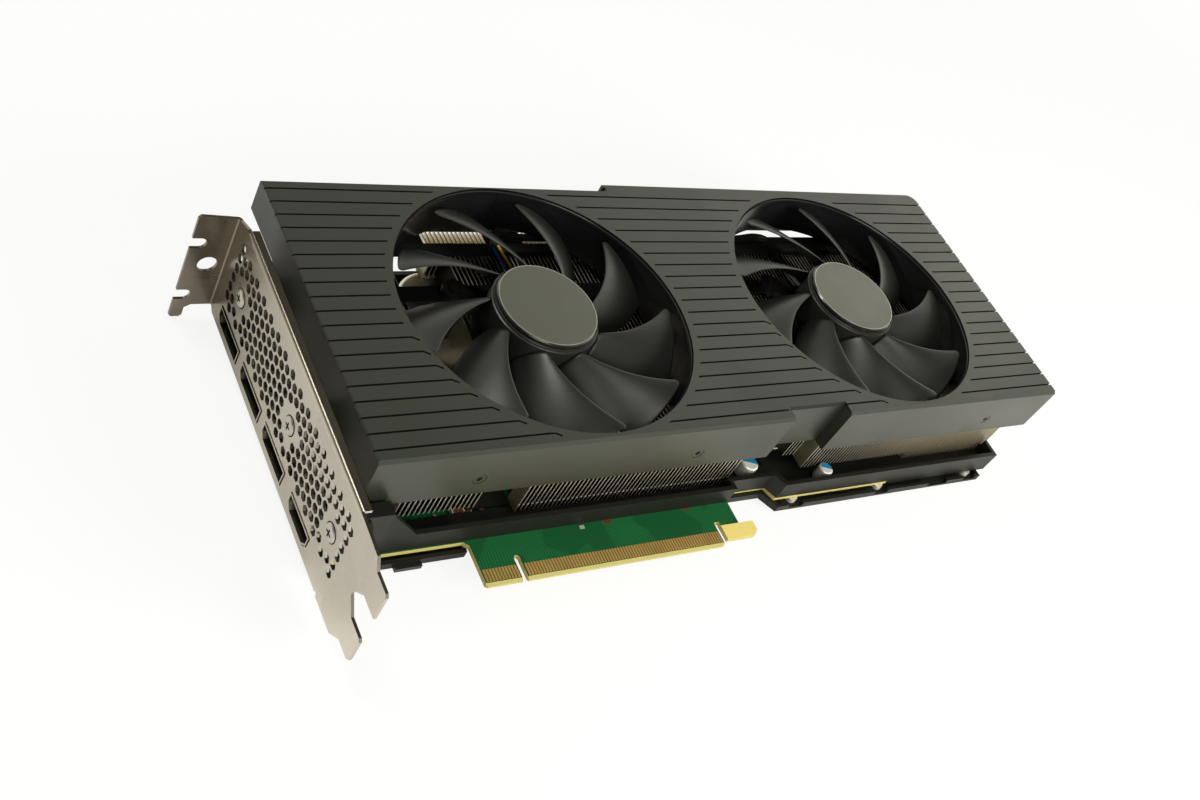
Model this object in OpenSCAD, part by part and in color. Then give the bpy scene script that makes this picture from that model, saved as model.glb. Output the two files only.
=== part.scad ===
// Two-fan graphics card for an expansion slot, two slots wide.
// Origin: centre of the key notch on the contact edge, at the component face of the board.
// +X runs along the card away from the bracket, +Y from the contact edge to the far edge,
// +Z from the board up to the fans. Sizes are millimetres.

/* [Edge connector] */
// Key notch centre to the bracket's outer face
key_to_bracket = 59; // [58:0.05:60]
// Length of the contact row before the key notch
edge_short = 11.65; // [10.5:0.05:12.5]
// Length of the contact row after the key notch
edge_long = 71.65; // [70:0.05:73]
// Width of the key notch
key_w = 1.9; // [1.6:0.05:2.2]
// Depth of the key notch
key_depth = 8.1; // [7:0.1:9]
// Contact spacing
contact_pitch = 1; // [0.9:0.05:1.2]
// Contact width
contact_w = 0.7; // [0.5:0.05:0.8]
// Contact length
contact_len = 4; // [3:0.1:5]
// Width of the retention hook
hook_w = 13.2; // [11:0.1:14]

/* [Board] */
// Board thickness
pcb_t = 1.57; // [1.2:0.01:2]
// Board length
pcb_len = 260.4; // [255:0.1:263]
// Contact edge to the board's front edge
pcb_front = 14.6; // [14:0.1:15]
// Contact edge to the board's front edge beyond the step
pcb_front_r = 13.9; // [13.8:0.1:14.5]
// Contact edge to the board's far edge
pcb_far = 112; // [110:0.1:113]

/* [Chip and cold plate] */
// Graphics chip position from the bracket
chip_at = 97; // [95:0.5:99]
// Graphics chip package side
chip_side = 45; // [40:0.5:47]
// Graphics chip package thickness
chip_t = 1.65; // [1.4:0.05:2]
// Silicon die thickness
die_t = 0.8; // [0.6:0.05:1]
// Memory chip thickness
memory_t = 1.2; // [0.9:0.05:1.4]
// Cold plate thickness
cold_t = 2.2; // [1.8:0.1:2.6]

/* [Heat sink] */
// Base block thickness
base_t = 4.2; // [4:0.1:5]
// Fin height above the base blocks
fin_h = 9.85; // [8.5:0.05:11]
// Fin sheet thickness
fin_t = 0.4; // [0.3:0.05:0.5]
// Fin spacing in the left stack
fin_pitch_l = 2; // [1.8:0.1:2.6]
// Fin spacing in the middle stack
fin_pitch_m = 1.7; // [1.5:0.1:2.2]
// Fin spacing in the right stack
fin_pitch_r = 1.6; // [1.4:0.1:2.2]
// Flattened heat pipe width
pipe_w = 8; // [7:0.1:8.4]
// Flattened heat pipe height
pipe_h = 3.4; // [3:0.1:3.6]

/* [Fans] */
// First fan axis from the bracket
fan_at = 80.65; // [79.5:0.05:81.5]
// Distance between the fan axes
fan_pitch = 126.9; // [126:0.1:128]
// Contact edge to the fan axes
fan_y = 67.76; // [67.5:0.02:68]
// Blades on each fan
blade_n = 9; // [7:1:11]
// Gap between the blade tips and the fan opening
tip_gap = 2.3; // [1.5:0.1:4]
// Hub radius
hub_r = 17; // [16.5:0.1:18]
// Blade height along the axis
blade_h = 10.4; // [9:0.1:12]
// Fan turn shown for the first fan, in degrees
turn_1 = 0; // [-20:1:20]
// Fan turn shown for the second fan, in degrees
turn_2 = 6; // [-20:1:20]
// Shaft radius
shaft_r = 1.5; // [1.3:0.05:1.6]

/* [Shroud] */
// Bracket to the shroud's left wall
shroud_gap = 8.2; // [7.5:0.1:9]
// Shroud length
shroud_len = 268.2; // [266:0.1:272]
// Contact edge to the shroud's front wall
shroud_front = 18.4; // [18:0.1:18.6]
// Front wall to the left section's far wall
shroud_w = 98; // [97.8:0.1:99]
// Extra width of the right section
far_step = 2; // [1:0.1:3]
// Wall thickness
wall = 1.4; // [1.2:0.05:1.7]
// Top thickness
top_t = 2.2; // [1.8:0.1:2.6]
// Front wall depth
skirt = 18.8; // [15:0.1:19]
// Left wall depth
left_skirt = 11.2; // [9:0.1:15]
// Fan opening radius
opening_r = 47.3; // [46.8:0.1:47.6]
// Number of grooves
groove_n = 19; // [9:1:19]
// Groove spacing
groove_pitch = 5.028; // [4.9:0.001:5.05]
// Groove width
groove_w = 0.9; // [0.6:0.05:1.2]
// Groove depth
groove_d = 0.8; // [0.4:0.05:1.1]

/* [Bracket] */
// Bracket sheet thickness
bracket_t = 0.86; // [0.8:0.02:1]
// Contact edge to the underside of the bent tab
tab_y = 105.1; // [104.5:0.1:106]
// Reach of the bent tab
tab_len = 11.2; // [10.5:0.1:11.6]
// Tab screw slot width
tab_slot_w = 3.8; // [3.4:0.1:4.4]
// Tab round hole radius
tab_hole_r = 2.8; // [2.2:0.1:3]
// Spacing of the honeycomb holes
hex_pitch = 3.62; // [3.5:0.02:4]
// Corner radius of one honeycomb hole
hex_r = 1.6; // [1.2:0.05:1.7]

/* [Fits] */
// Play between two seated pieces
play = 0.15; // [0.1:0.01:0.25]
// Running gap between shaft and bearing
run_gap = 0.05; // [0.02:0.01:0.08]
// Inner radius of the bracket's bends
bend_in = 0.5; // [0.3:0.05:0.8]
// Gap round the shell of a socket in the bracket
socket_gap = 0.3; // [0.2:0.05:0.4]

/* [Hidden] */
$fn = 64;
eps = 0.02;
bracket_x = -key_to_bracket;
function bx(d) = bracket_x + d;

// Levels, from the board upward
chip_top = chip_t + die_t;
cold_top = chip_top + cold_t;
base_top = cold_top + base_t;
pipe_z = cold_top + base_t / 2;
fin_top = base_top + fin_h;
frame_z = fin_top + 1.9;
frame_t = 2.6;
frame_top = frame_z + frame_t;
hub_z = frame_top + 1.2;
blade_z = frame_top + 1.4;
blade_top = blade_z + blade_h;
hub_top = blade_top + 0.2;
top_z = blade_top + 2;
under_z = top_z - top_t;
rail_h = 7;
seat = play / 3;
flange_t = 1.2;
flange_w = 8.2;

// Board and connector
pcb_x0 = bx(1.6);
pcb_x1 = pcb_x0 + pcb_len;
edge_x0 = -key_w / 2 - edge_short;
edge_x1 = key_w / 2 + edge_long;
hook_x0 = edge_x1 + 2.1;
hook_x1 = hook_x0 + hook_w;
hook_top = 7;
neck_x = hook_x1 - 5.8;
back_in_x = bx(159.3);
back_out_x = bx(161.3);
back_y = 18.5;
lip_x = bx(214.5);

// Shroud
shroud_x0 = bx(shroud_gap);
shroud_x1 = shroud_x0 + shroud_len;
far_l = shroud_front + shroud_w;
far_r = far_l + far_step;
step_x = bx(125);
notch_x0 = bx(147.6);
notch_x1 = bx(171.8);
notch_y = 22.6;
edge_cut = 0.9;
corner_r = 4;
rim_w = 2.2;
groove_y0 = fan_y - 9 * groove_pitch - 0.32;
fan_x = [bx(fan_at), bx(fan_at + fan_pitch)];
tip_r = opening_r - tip_gap;
collar_t = 1.2;
collar_z = frame_z + 0.9;
boss_r = 3.3;
ear_ring = opening_r + collar_t + boss_r + 0.2;
strut_z = fin_top + 0.3;
strut_y = 19.6;
strut_w = 6;
ear_x = sqrt(ear_ring * ear_ring - strut_y * strut_y);
ear_top = strut_z + 3;
fan_screw_r = 1.2;
fan_head_r = 2.1;
motor_ear = [17.8, 18.6];
motor_ear_r = 4.2;
base_r = 18.5;

// Fin stacks
fin_front = 21.2;
fin_far = 113;
left_x = [bx(23.4), bx(50)];
mid_x = [bx(54), bx(142.2)];
right_x = [bx(174.7), bx(270.6)];
small_x = [bx(162.4), bx(167.6)];
far_fin_x = bx(63);
seal_y = 104;
seal_w = 3.8;
bend_x = bx(66);
bend_r = 9;
leg_in = 18.2;
leg_mid = 6;
leg_out = leg_in + 2 * bend_r;
far_leg_x1 = bx(200);
pipe_x1 = bx(268);

// Screw places
bracket_screws_y = [90.5, 46.4, 13.1];
bracket_screw_z = 17;
bracket_screw_r = 1.45;
plate_screw_at = [[30, 19.6], [120, 20.6], [168, 19.6], [255, 19.6],
  [30, 109], [120, 109], [190, 109], [255, 109]];
plate_screw_r = 1.2;
spring_at = [[-23.5, -33], [23.5, -33], [-23.5, 33], [23.5, 33]];
spring_screw_r = 1.2;
clip_front = [shroud_gap + 33.1, 115.9, shroud_gap + shroud_len - 28.4];
clip_far = [shroud_gap + 21.8, shroud_gap + shroud_len - 14.4];
clip_z = top_z - 12.2;
side_screw_r = 1;
side_head_r = 1.9;
side_head_t = 0.7;

// Sockets
dp_y = [89.95, 69.2, 48.4];
dp_w = 16.9;
dp_h = 5.1;
hdmi_y = 26.5;
hdmi_w = 14.5;
hdmi_h = 5.1;
shell_t = 0.4;
shell_len = 17;
power_at = [215, 235];
power_w = 18;
power_h = 10.2;
power_d = 12.6;
header_at = [150, 160];
header_y = 95;

// Backplate
plate_z = -4.2;
plate_t = 1;
spring_t = 0.9;
standoff_at = [[170.4, 14.7], [211.5, 14.7], [258.4, 14.7]];

// Chips
memory_dx = 31;
memory_dy = [-22.5, -7.5, 7.5, 22.5];
choke_h = 4.2;
choke_n = 6;
can_at = [[152, 24.2, 3.1], [182.6, 18.3, 2.5], [150, 41, 3.1], [157.5, 41, 3.1]];
can_h = 7;

// Fan leads: distance from the bracket, contact edge and board
lead_1 = [
  [83.9, 80.9, frame_z + 1.5],
  [85.1, 85.7, frame_z + 1.4],
  [86, 91, frame_z + 1.3],
  [86, 97, frame_z + 1.25],
  [85.4, 103, frame_z + 1.25],
  [86, 108.4, frame_z + 1.25],
  [90, 110.8, frame_z + 0.6],
  [98, 111, frame_z - 0.65],
  [125, 111, frame_z - 0.65],
  [144.2, 109.6, frame_z - 0.65],
  [149.6, 104.5, frame_z - 3.2],
  [150.2, 99.5, 12.5],
  [150, 95.6, 9.4],
  [150, 95, 6.4]
];
lead_2 = [
  [204.3, 80.9, frame_z + 1.5],
  [203.1, 85.7, frame_z + 1.4],
  [202.2, 91, frame_z + 1.3],
  [202.2, 97, frame_z + 1.25],
  [202.8, 103, frame_z + 1.25],
  [202.2, 108.4, frame_z + 1.25],
  [198, 110.8, frame_z + 0.6],
  [190, 111, frame_z - 0.65],
  [174, 111, frame_z - 0.65],
  [162, 109.6, frame_z - 0.62],
  [157.6, 104.5, frame_z - 3],
  [159, 99.5, 12.5],
  [160, 95.6, 9.4],
  [160, 95, 6.4]
];
wire_r = 0.5;
wire_at = [[-0.54, -0.54], [0.54, -0.54], [0.54, 0.54], [-0.54, 0.54]];

// Helpers
module along_x(x0, len) translate([x0, 0, 0]) rotate([90, 0, 90]) linear_extrude(len) children();
module along_y(y0, len) translate([0, y0 + len, 0]) rotate([90, 0, 0]) linear_extrude(len) children();
module box(lo, hi) translate(lo) cube([hi[0] - lo[0], hi[1] - lo[1], hi[2] - lo[2]]);
module rod(x, y, z0, z1, r) translate([x, y, z0]) cylinder(h = z1 - z0, r = r);
module rect(lo, hi) translate(lo) square([hi[0] - lo[0], hi[1] - lo[1]]);

// Shroud outline, drawn in by a margin
module shroud_plan(i) {
  difference() {
    union() {
      rect([shroud_x0 + i, shroud_front + i], [shroud_x1 - i, far_l - corner_r]);
      rect([shroud_x0 + i, far_l - corner_r - 1], [step_x + i + 1, far_l - i]);
      rect([step_x + i, far_l - corner_r - 1], [shroud_x1 - corner_r, far_r - i]);
      rect([shroud_x1 - corner_r - 1, far_l - corner_r - 1], [shroud_x1 - i, far_r - corner_r]);
      translate([shroud_x1 - corner_r, far_r - corner_r]) circle(r = corner_r - i);
    }
    rect([notch_x0 - i, shroud_front - 1], [notch_x1 + i, notch_y + i]);
  }
}

// One groove: upright far wall, sloping near wall
module groove_cut(y) {
  along_x(shroud_x0 - 1, shroud_len + 2)
    polygon([[y + groove_w / 2, top_z + 1], [y + groove_w / 2, top_z - groove_d],
      [y + groove_w / 2 - 0.4, top_z - groove_d], [y - groove_w / 2, top_z + 1]]);
}

// Short slanted tail where a groove meets the plain rim of a fan opening
module groove_tail(x, y) {
  rim = opening_r + rim_w;
  if (y < fan_y - 8 && fan_y - y < rim - 1)
    translate([x - sqrt(rim * rim - (y - fan_y) * (y - fan_y)) - 0.2, y + groove_w / 2, top_z - groove_d])
      rotate([0, 0, -32])
        translate([0, -0.6, 0])
          cube([2.4, 0.6, groove_d + 1]);
}

module top_edge_cuts() {
  c = edge_cut;
  along_x(shroud_x0 - 1, shroud_len + 2)
    polygon([[shroud_front - 1, top_z + 1], [shroud_front - 1, top_z - c - 1],
      [shroud_front + c + 1, top_z + 1]]);
  along_x(shroud_x0 - 1, step_x - shroud_x0 + 1 + c)
    polygon([[far_l + 1, top_z + 1], [far_l + 1, top_z - c - 1], [far_l - c - 1, top_z + 1]]);
  along_x(notch_x0, notch_x1 - notch_x0)
    polygon([[notch_y - 1, top_z + 1], [notch_y - 1, top_z - c - 1], [notch_y + c + 1, top_z + 1]]);
  along_y(shroud_front - 1, shroud_w + far_step + 2)
    polygon([[shroud_x0 - 1, top_z + 1], [shroud_x0 - 1, top_z - 1.4], [shroud_x0 + 1.4, top_z + 1]]);
}

// Rods at the four screws that hold a fan duct to the shroud
module ear_rods(k, r, z0, z1) {
  for (sx = [-1, 1], sy = [-1, 1])
    rod(fan_x[k] + sx * ear_x, fan_y + sy * strut_y, z0, z1, r);
}

// Rods at the four screws that hold a motor base to its struts
module motor_rods(k, r, z0, z1) {
  for (sx = [-1, 1], sy = [-1, 1])
    rod(fan_x[k] + sx * motor_ear[0], fan_y + sy * motor_ear[1], z0, z1, r);
}

// Stepped hole for a side screw
module side_hole(x, y, dir) {
  translate([x, y, clip_z])
    rotate([-90 * dir, 0, 0]) {
      translate([0, 0, -1]) cylinder(h = 1 + side_head_t, r = side_head_r + play);
      cylinder(h = wall + 1, r = side_screw_r + play);
    }
}

module shroud() {
  low = top_z - skirt;
  color("dimgray")
  difference() {
    union() {
      difference() {
        translate([0, 0, low]) linear_extrude(skirt) shroud_plan(0);
        translate([0, 0, low - 1]) linear_extrude(skirt - top_t + 1) shroud_plan(wall);
      }
      for (k = [0, 1])
        ear_rods(k, boss_r, ear_top, under_z + eps);
    }
    for (x = fan_x)
      rod(x, fan_y, under_z - 1, top_z + 1, opening_r);
    for (k = [0, 1])
      ear_rods(k, fan_screw_r + 0.05, ear_top - 1, ear_top + 6);
    difference() {
      for (i = [0:groove_n - 1])
        groove_cut(groove_y0 + i * groove_pitch);
      for (x = fan_x)
        rod(x, fan_y, top_z - 2, top_z + 2, opening_r + rim_w);
    }
    for (x = fan_x, i = [0:groove_n - 1])
      groove_tail(x, groove_y0 + i * groove_pitch);
    top_edge_cuts();
    box([shroud_x0 - 1, shroud_front + wall, low - 1],
      [shroud_x0 + wall + 1, far_l - wall, top_z - left_skirt]);
    for (y = [shroud_front - 1, far_l - wall - 1])
      along_y(y, wall + 2)
        polygon([[shroud_x0 - 1, low - 1], [shroud_x0 - 1, top_z - left_skirt],
          [shroud_x0, top_z - left_skirt], [shroud_x0 + 4.8, low], [shroud_x0 + 4.8, low - 1]]);
    for (d = clip_front)
      side_hole(bx(d), shroud_front, 1);
    side_hole(bx(clip_far[0]), far_l, -1);
    side_hole(bx(clip_far[1]), far_r, -1);
  }
}

// Angle clips that carry the shroud on the fin tops
module clip(x, y, dir) {
  t = 0.8;
  translate([x, y, 0])
    difference() {
      union() {
        box([-5, dir > 0 ? 0 : -6, fin_top], [5, dir > 0 ? 6 : 0, fin_top + t]);
        box([-5, dir > 0 ? 0 : -t, fin_top], [5, dir > 0 ? t : 0, clip_z + 3.5]);
      }
      translate([0, -3, clip_z]) rotate([-90, 0, 0]) cylinder(h = 6, r = side_screw_r + 0.05);
    }
}

module shroud_clips() {
  color("silver") {
    for (d = clip_front)
      clip(bx(d), shroud_front + wall, 1);
    clip(bx(clip_far[0]), far_l - wall, -1);
    clip(bx(clip_far[1]), far_r - wall, -1);
  }
}

module side_screw(x, y, dir) {
  translate([x, y, clip_z])
    rotate([-90 * dir, 0, 0])
      difference() {
        union() {
          translate([0, 0, 0.1]) cylinder(h = side_head_t - 0.1, r = side_head_r);
          translate([0, 0, 0.3]) cylinder(h = wall + 2.1, r = side_screw_r);
        }
        translate([0, 0, -1]) cylinder(h = 1.5, r = 0.9, $fn = 6);
      }
}

module shroud_screws() {
  color("black") {
    for (d = clip_front)
      side_screw(bx(d), shroud_front, 1);
    side_screw(bx(clip_far[0]), far_l, -1);
    side_screw(bx(clip_far[1]), far_r, -1);
  }
}

// Blade surface: forward-swept leading edge at the top, trailing edge below and behind it
blade_nr = 6;
blade_nc = 5;
sweep = 37;
chord_root = 26;
chord_tip = 29;
function blade_r(k) = hub_r - 0.6 + (tip_r - hub_r + 0.6) * k / blade_nr;
function blade_u(r) = max(0, (r - hub_r) / (tip_r - hub_r));
function lead_angle(r) = -sweep * (1 - pow(blade_u(r), 0.75));
function chord_angle(r) = chord_root + (chord_tip - chord_root) * blade_u(r);
function blade_level(s) = blade_top - 0.6 - (blade_h - 1.2) * (0.45 * s + 0.55 * s * s);
function blade_half(s) = 0.18 + 0.42 * sin(180 * s);
function blade_point(side, k, j) =
  let (r = blade_r(k), s = j / blade_nc, a = lead_angle(r) - chord_angle(r) * s)
  [r * cos(a), r * sin(a), blade_level(s) + (side == 0 ? 1 : -1) * blade_half(s)];
function blade_i(side, k, j) = (side * (blade_nr + 1) + k) * (blade_nc + 1) + j;
function split(a, b, c, d) = [[a, b, c], [a, c, d]];
blade_points = [for (side = [0, 1], k = [0:blade_nr], j = [0:blade_nc]) blade_point(side, k, j)];
blade_faces = concat(
  [for (k = [0:blade_nr - 1], j = [0:blade_nc - 1])
    each split(blade_i(0, k, j), blade_i(0, k + 1, j), blade_i(0, k + 1, j + 1), blade_i(0, k, j + 1))],
  [for (k = [0:blade_nr - 1], j = [0:blade_nc - 1])
    each split(blade_i(1, k, j), blade_i(1, k, j + 1), blade_i(1, k + 1, j + 1), blade_i(1, k + 1, j))],
  [for (j = [0:blade_nc - 1])
    each split(blade_i(0, 0, j), blade_i(0, 0, j + 1), blade_i(1, 0, j + 1), blade_i(1, 0, j))],
  [for (j = [0:blade_nc - 1])
    each split(blade_i(0, blade_nr, j + 1), blade_i(0, blade_nr, j),
      blade_i(1, blade_nr, j), blade_i(1, blade_nr, j + 1))],
  [for (k = [0:blade_nr - 1])
    each split(blade_i(0, k + 1, 0), blade_i(0, k, 0), blade_i(1, k, 0), blade_i(1, k + 1, 0))],
  [for (k = [0:blade_nr - 1])
    each split(blade_i(0, k, blade_nc), blade_i(0, k + 1, blade_nc),
      blade_i(1, k + 1, blade_nc), blade_i(1, k, blade_nc))]);

cup_r = hub_r - 1.6;
cup_top = hub_top - 2;

module hub() {
  rotate_extrude()
    polygon([[hub_r, hub_z], [hub_r, hub_top - 1], [hub_r - 0.5, hub_top], [shaft_r - 0.01, hub_top],
      [shaft_r - 0.01, cup_top - 0.8], [3, cup_top - 0.8], [3, cup_top], [cup_r, cup_top], [cup_r, hub_z]]);
}

module impeller(k, turn) {
  color([0.16, 0.16, 0.16])
  translate([fan_x[k], fan_y, 0])
    rotate([0, 0, turn])
      union() {
        hub();
        for (i = [0:blade_n - 1])
          rotate([0, 0, i * 360 / blade_n])
            polyhedron(points = blade_points, faces = blade_faces);
      }
}

module hub_cap(k) {
  color([0.2, 0.2, 0.2])
  translate([fan_x[k], fan_y, hub_top])
    rotate_extrude()
      polygon([[0, 0], [hub_r - 1, 0], [hub_r - 1, 1], [hub_r - 1.4, 1.4], [0, 1.4]]);
}

yoke_r = cup_r - 0.1;
yoke_in = yoke_r - 1.3;
magnet_in = yoke_in - 1.3;
stator_r = magnet_in - 0.5;

module ring(k, z0, z1, r_in, r_out) {
  translate([fan_x[k], fan_y, 0])
    difference() {
      rod(0, 0, z0, z1, r_out);
      rod(0, 0, z0 - 1, z1 + 1, r_in);
    }
}

module rotor_yoke(k) {
  color("slategray") ring(k, hub_z + 0.4, cup_top, yoke_in, yoke_r);
}

module rotor_magnet(k) {
  color([0.25, 0.23, 0.22]) ring(k, hub_z + 1, cup_top - 1, magnet_in, yoke_in - seat);
}

module fan_shaft(k) {
  color("silver") rod(fan_x[k], fan_y, frame_z + 0.9, hub_top, shaft_r);
}

bearing_r = 3.2;
tube_r = bearing_r + 1;
tube_top = cup_top - 1.4;

module shaft_bearing(k) {
  color("goldenrod") ring(k, frame_z + 0.8, tube_top - 0.3, shaft_r + run_gap, bearing_r - seat);
}

// Black duct under each fan opening: collar, two struts along the card, four ears
module fan_frame(k) {
  reach = ear_ring + boss_r + 1;
  color([0.08, 0.08, 0.08])
  difference() {
    union() {
      ring(k, collar_z, under_z - seat, opening_r, opening_r + collar_t);
      for (sy = [-1, 1]) {
        y = fan_y + sy * strut_y;
        box([fan_x[k] - ear_x, y - strut_w / 2, strut_z], [fan_x[k] + ear_x, y + strut_w / 2, frame_z]);
        intersection() {
          ring(k, strut_z, collar_z + eps, opening_r, opening_r + collar_t);
          box([fan_x[k] - ear_x, y - strut_w / 2, strut_z],
            [fan_x[k] + ear_x, y + strut_w / 2, collar_z + 1]);
        }
      }
      ear_rods(k, boss_r, strut_z, ear_top);
    }
    ear_rods(k, fan_screw_r + play, strut_z - 1, ear_top + 1);
    ear_rods(k, fan_head_r + play, strut_z - 1, strut_z + 1.4);
    motor_rods(k, fan_screw_r + 0.05, strut_z - 1, frame_z + 1);
    box([fan_x[k] - reach, fan_y - reach, 0], [fan_x[k] + reach, shroud_front + wall + play, top_z]);
    box([fan_x[k] - reach, (k == 0 ? far_l : far_r) - wall - play, 0],
      [fan_x[k] + reach, fan_y + reach, top_z]);
  }
}

// Motor base: disc with four ears on the struts and the bearing tube
module motor_plan(lead_side) {
  arm_half = motor_ear_r - 1;
  ear_turn = atan2(motor_ear[1], motor_ear[0]);
  difference() {
    union() {
      circle(r = base_r);
      for (a = [ear_turn, -ear_turn, 180 - ear_turn, 180 + ear_turn])
        rotate(a) {
          translate([10, -arm_half]) square([norm(motor_ear) - 10, 2 * arm_half]);
          translate([norm(motor_ear), 0]) circle(r = motor_ear_r);
        }
    }
    rotate(lead_side) translate([11.5, -1.6]) square([base_r - 9, 3.2]);
    for (sx = [-1, 1], sy = [-1, 1])
      translate([sx * motor_ear[0], sy * motor_ear[1]]) circle(r = fan_screw_r + play);
  }
}

module motor_base(k) {
  color([0.12, 0.12, 0.12])
  translate([fan_x[k], fan_y, 0])
    difference() {
      union() {
        translate([0, 0, frame_z]) linear_extrude(frame_t) motor_plan(k == 0 ? 76 : 104);
        rod(0, 0, frame_z + 0.4, tube_top, tube_r);
      }
      rod(0, 0, frame_z + 0.8, tube_top + 1, bearing_r);
    }
}

core_z = frame_top + 3.4;
core_h = 3.8;
pole_in = stator_r - 1.7;
coil_w = 6.2;
coil_x0 = 6.6;
coil_x1 = sqrt(pow(pole_in - 0.1, 2) - coil_w * coil_w / 4);

module stator(k) {
  color("lightslategray")
  translate([fan_x[k], fan_y, core_z])
    difference() {
      union() {
        cylinder(h = core_h, r = 6.4);
        for (a = [0:90:270])
          rotate([0, 0, a]) translate([4, -1.5, 0]) cube([stator_r - 5.5, 3, core_h]);
        difference() {
          cylinder(h = core_h, r = stator_r);
          translate([0, 0, -1]) cylinder(h = core_h + 2, r = pole_in);
          for (a = [45:90:315])
            rotate([0, 0, a]) translate([0, -2, -1]) cube([20, 4, core_h + 2]);
        }
      }
      translate([0, 0, -1]) cylinder(h = core_h + 2, r = tube_r + 0.05);
    }
}

module stator_coils(k) {
  color([0.72, 0.42, 0.2])
  translate([fan_x[k], fan_y, core_z])
    for (a = [0:90:270])
      rotate([0, 0, a])
        difference() {
          translate([coil_x0, -coil_w / 2, -1.6]) cube([coil_x1 - coil_x0, coil_w, core_h + 3.2]);
          translate([6, -1.55, -0.05]) cube([8, 3.1, core_h + 0.1]);
        }
}

module motor_board(k) {
  color("darkgreen") ring(k, frame_top, frame_top + 0.8, tube_r + 0.1, 13);
}

// Round wires of a fan lead, carried along a smooth path
function unit(v) = v / norm(v);
function curve(p, i, t) =
  let (a = p[max(i - 1, 0)], b = p[i], c = p[i + 1], d = p[min(i + 2, len(p) - 1)])
  0.5 * (2 * b + (c - a) * t + (2 * a - 5 * b + 4 * c - d) * t * t + (3 * b - a - 3 * c + d) * t * t * t);
function path(p) = concat([for (i = [0:len(p) - 2], t = [0, 1 / 3, 2 / 3]) curve(p, i, t)], [p[len(p) - 1]]);
function heading(p, i) = unit(p[min(i + 1, len(p) - 1)] - p[max(i - 1, 0)]);
function level(v, h) = unit(v - h * (v * h));
function sides(p, i) = i == 0 ? level([1, 0, 0], heading(p, 0)) : level(sides(p, i - 1), heading(p, i));

module wire(p, at) {
  n = len(p);
  rings = [for (i = [0:n - 1])
    let (h = heading(p, i), u = sides(p, i), w = cross(h, u), c = p[i] + at[0] * u + at[1] * w)
    for (q = [0:7]) c + wire_r * (cos(q * 45) * u + sin(q * 45) * w)];
  walls = [for (i = [0:n - 2], q = [0:7])
    each split(i * 8 + q, (i + 1) * 8 + q, (i + 1) * 8 + (q + 1) % 8, i * 8 + (q + 1) % 8)];
  ends = [[for (q = [0:7]) q], [for (q = [7:-1:0]) (n - 1) * 8 + q]];
  polyhedron(points = rings, faces = concat(walls, ends));
}

module fan_lead(p) {
  s = path([for (q = p) [bx(q[0]), q[1], q[2]]]);
  tones = ["black", "gold", "green", "royalblue"];
  for (i = [0:3])
    color(tones[i]) wire(s, wire_at[i]);
}

module fan_screws() {
  color("black")
  for (k = [0, 1])
    difference() {
      union() {
        ear_rods(k, fan_head_r, strut_z + 0.2, strut_z + 1.4);
        ear_rods(k, fan_screw_r, strut_z + 0.9, ear_top + 5);
      }
      ear_rods(k, 0.8, strut_z - 1, strut_z + 0.8);
    }
}

module motor_screws() {
  color("black")
  for (k = [0, 1])
    difference() {
      union() {
        motor_rods(k, fan_head_r, frame_top, frame_top + 0.8);
        motor_rods(k, fan_screw_r, strut_z + 0.1, frame_top + 0.4);
      }
      motor_rods(k, 0.8, frame_top + 0.4, frame_top + 2);
    }
}

// Foam strips on the fin tops, beside the far edge
module air_seals() {
  color([0.06, 0.06, 0.06])
  for (x = [[far_fin_x, mid_x[1]], right_x])
    box([x[0], seal_y, fin_top], [x[1], seal_y + seal_w, frame_z]);
}

module fan_headers() {
  color("ivory")
  for (d = header_at)
    difference() {
      box([bx(d) - 4.5, header_y - 2.7, 0], [bx(d) + 4.5, header_y + 2.7, 4.6]);
      box([bx(d) - 3.8, header_y - 2, 1], [bx(d) + 3.8, header_y + 2, 6]);
    }
}

module fan_plugs() {
  color("white")
  for (d = header_at)
    box([bx(d) - 3.8 + play, header_y - 2 + play, 1], [bx(d) + 3.8 - play, header_y + 2 - play, 6.4]);
}

// Heat pipes: flattened section, two straight pipes and two that turn back at the left
module pipe_section(c) {
  half = pipe_h / 2 + c;
  square([pipe_w - pipe_h, 2 * half], center = true);
  for (s = [-1, 1])
    translate([s * (pipe_w - pipe_h) / 2, 0]) circle(r = half);
}

module pipe_run(x0, x1, dy, c) {
  translate([0, fan_y + dy, pipe_z]) along_x(x0, x1 - x0) pipe_section(c);
}

module pipe_bend(dir) {
  translate([bend_x, fan_y + dir * (leg_in + bend_r), pipe_z])
    rotate([0, 0, 90])
      rotate_extrude(angle = 180)
        translate([bend_r, 0]) pipe_section(0);
}

module pipe_tunnels(c) {
  for (s = [-1, 1]) {
    pipe_run(left_x[0] - 20, pipe_x1 + 20, s * leg_mid, c);
    pipe_run(bend_x, pipe_x1 + 20, s * leg_in, c);
    pipe_run(bend_x, pipe_x1 + 20, s * leg_out, c);
  }
}

module heat_pipes() {
  color("peru")
  for (s = [-1, 1]) {
    pipe_run(bx(25), pipe_x1, s * leg_mid, 0);
    union() {
      pipe_bend(s);
      pipe_run(bend_x, pipe_x1, s * leg_in, 0);
      pipe_run(bend_x, s > 0 ? far_leg_x1 : pipe_x1, s * leg_out, 0);
    }
  }
}

module fin_row(x0, x1, pitch, y0, y1, z0) {
  n = floor((x1 - x0 - fin_t) / pitch);
  for (i = [0:n])
    box([x0 + i * pitch, y0, z0], [x0 + i * pitch + fin_t, y1, fin_top]);
}

base_half = leg_in + pipe_w / 2 + 2;
tongue_half = leg_mid + pipe_w / 2 + 2;

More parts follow.
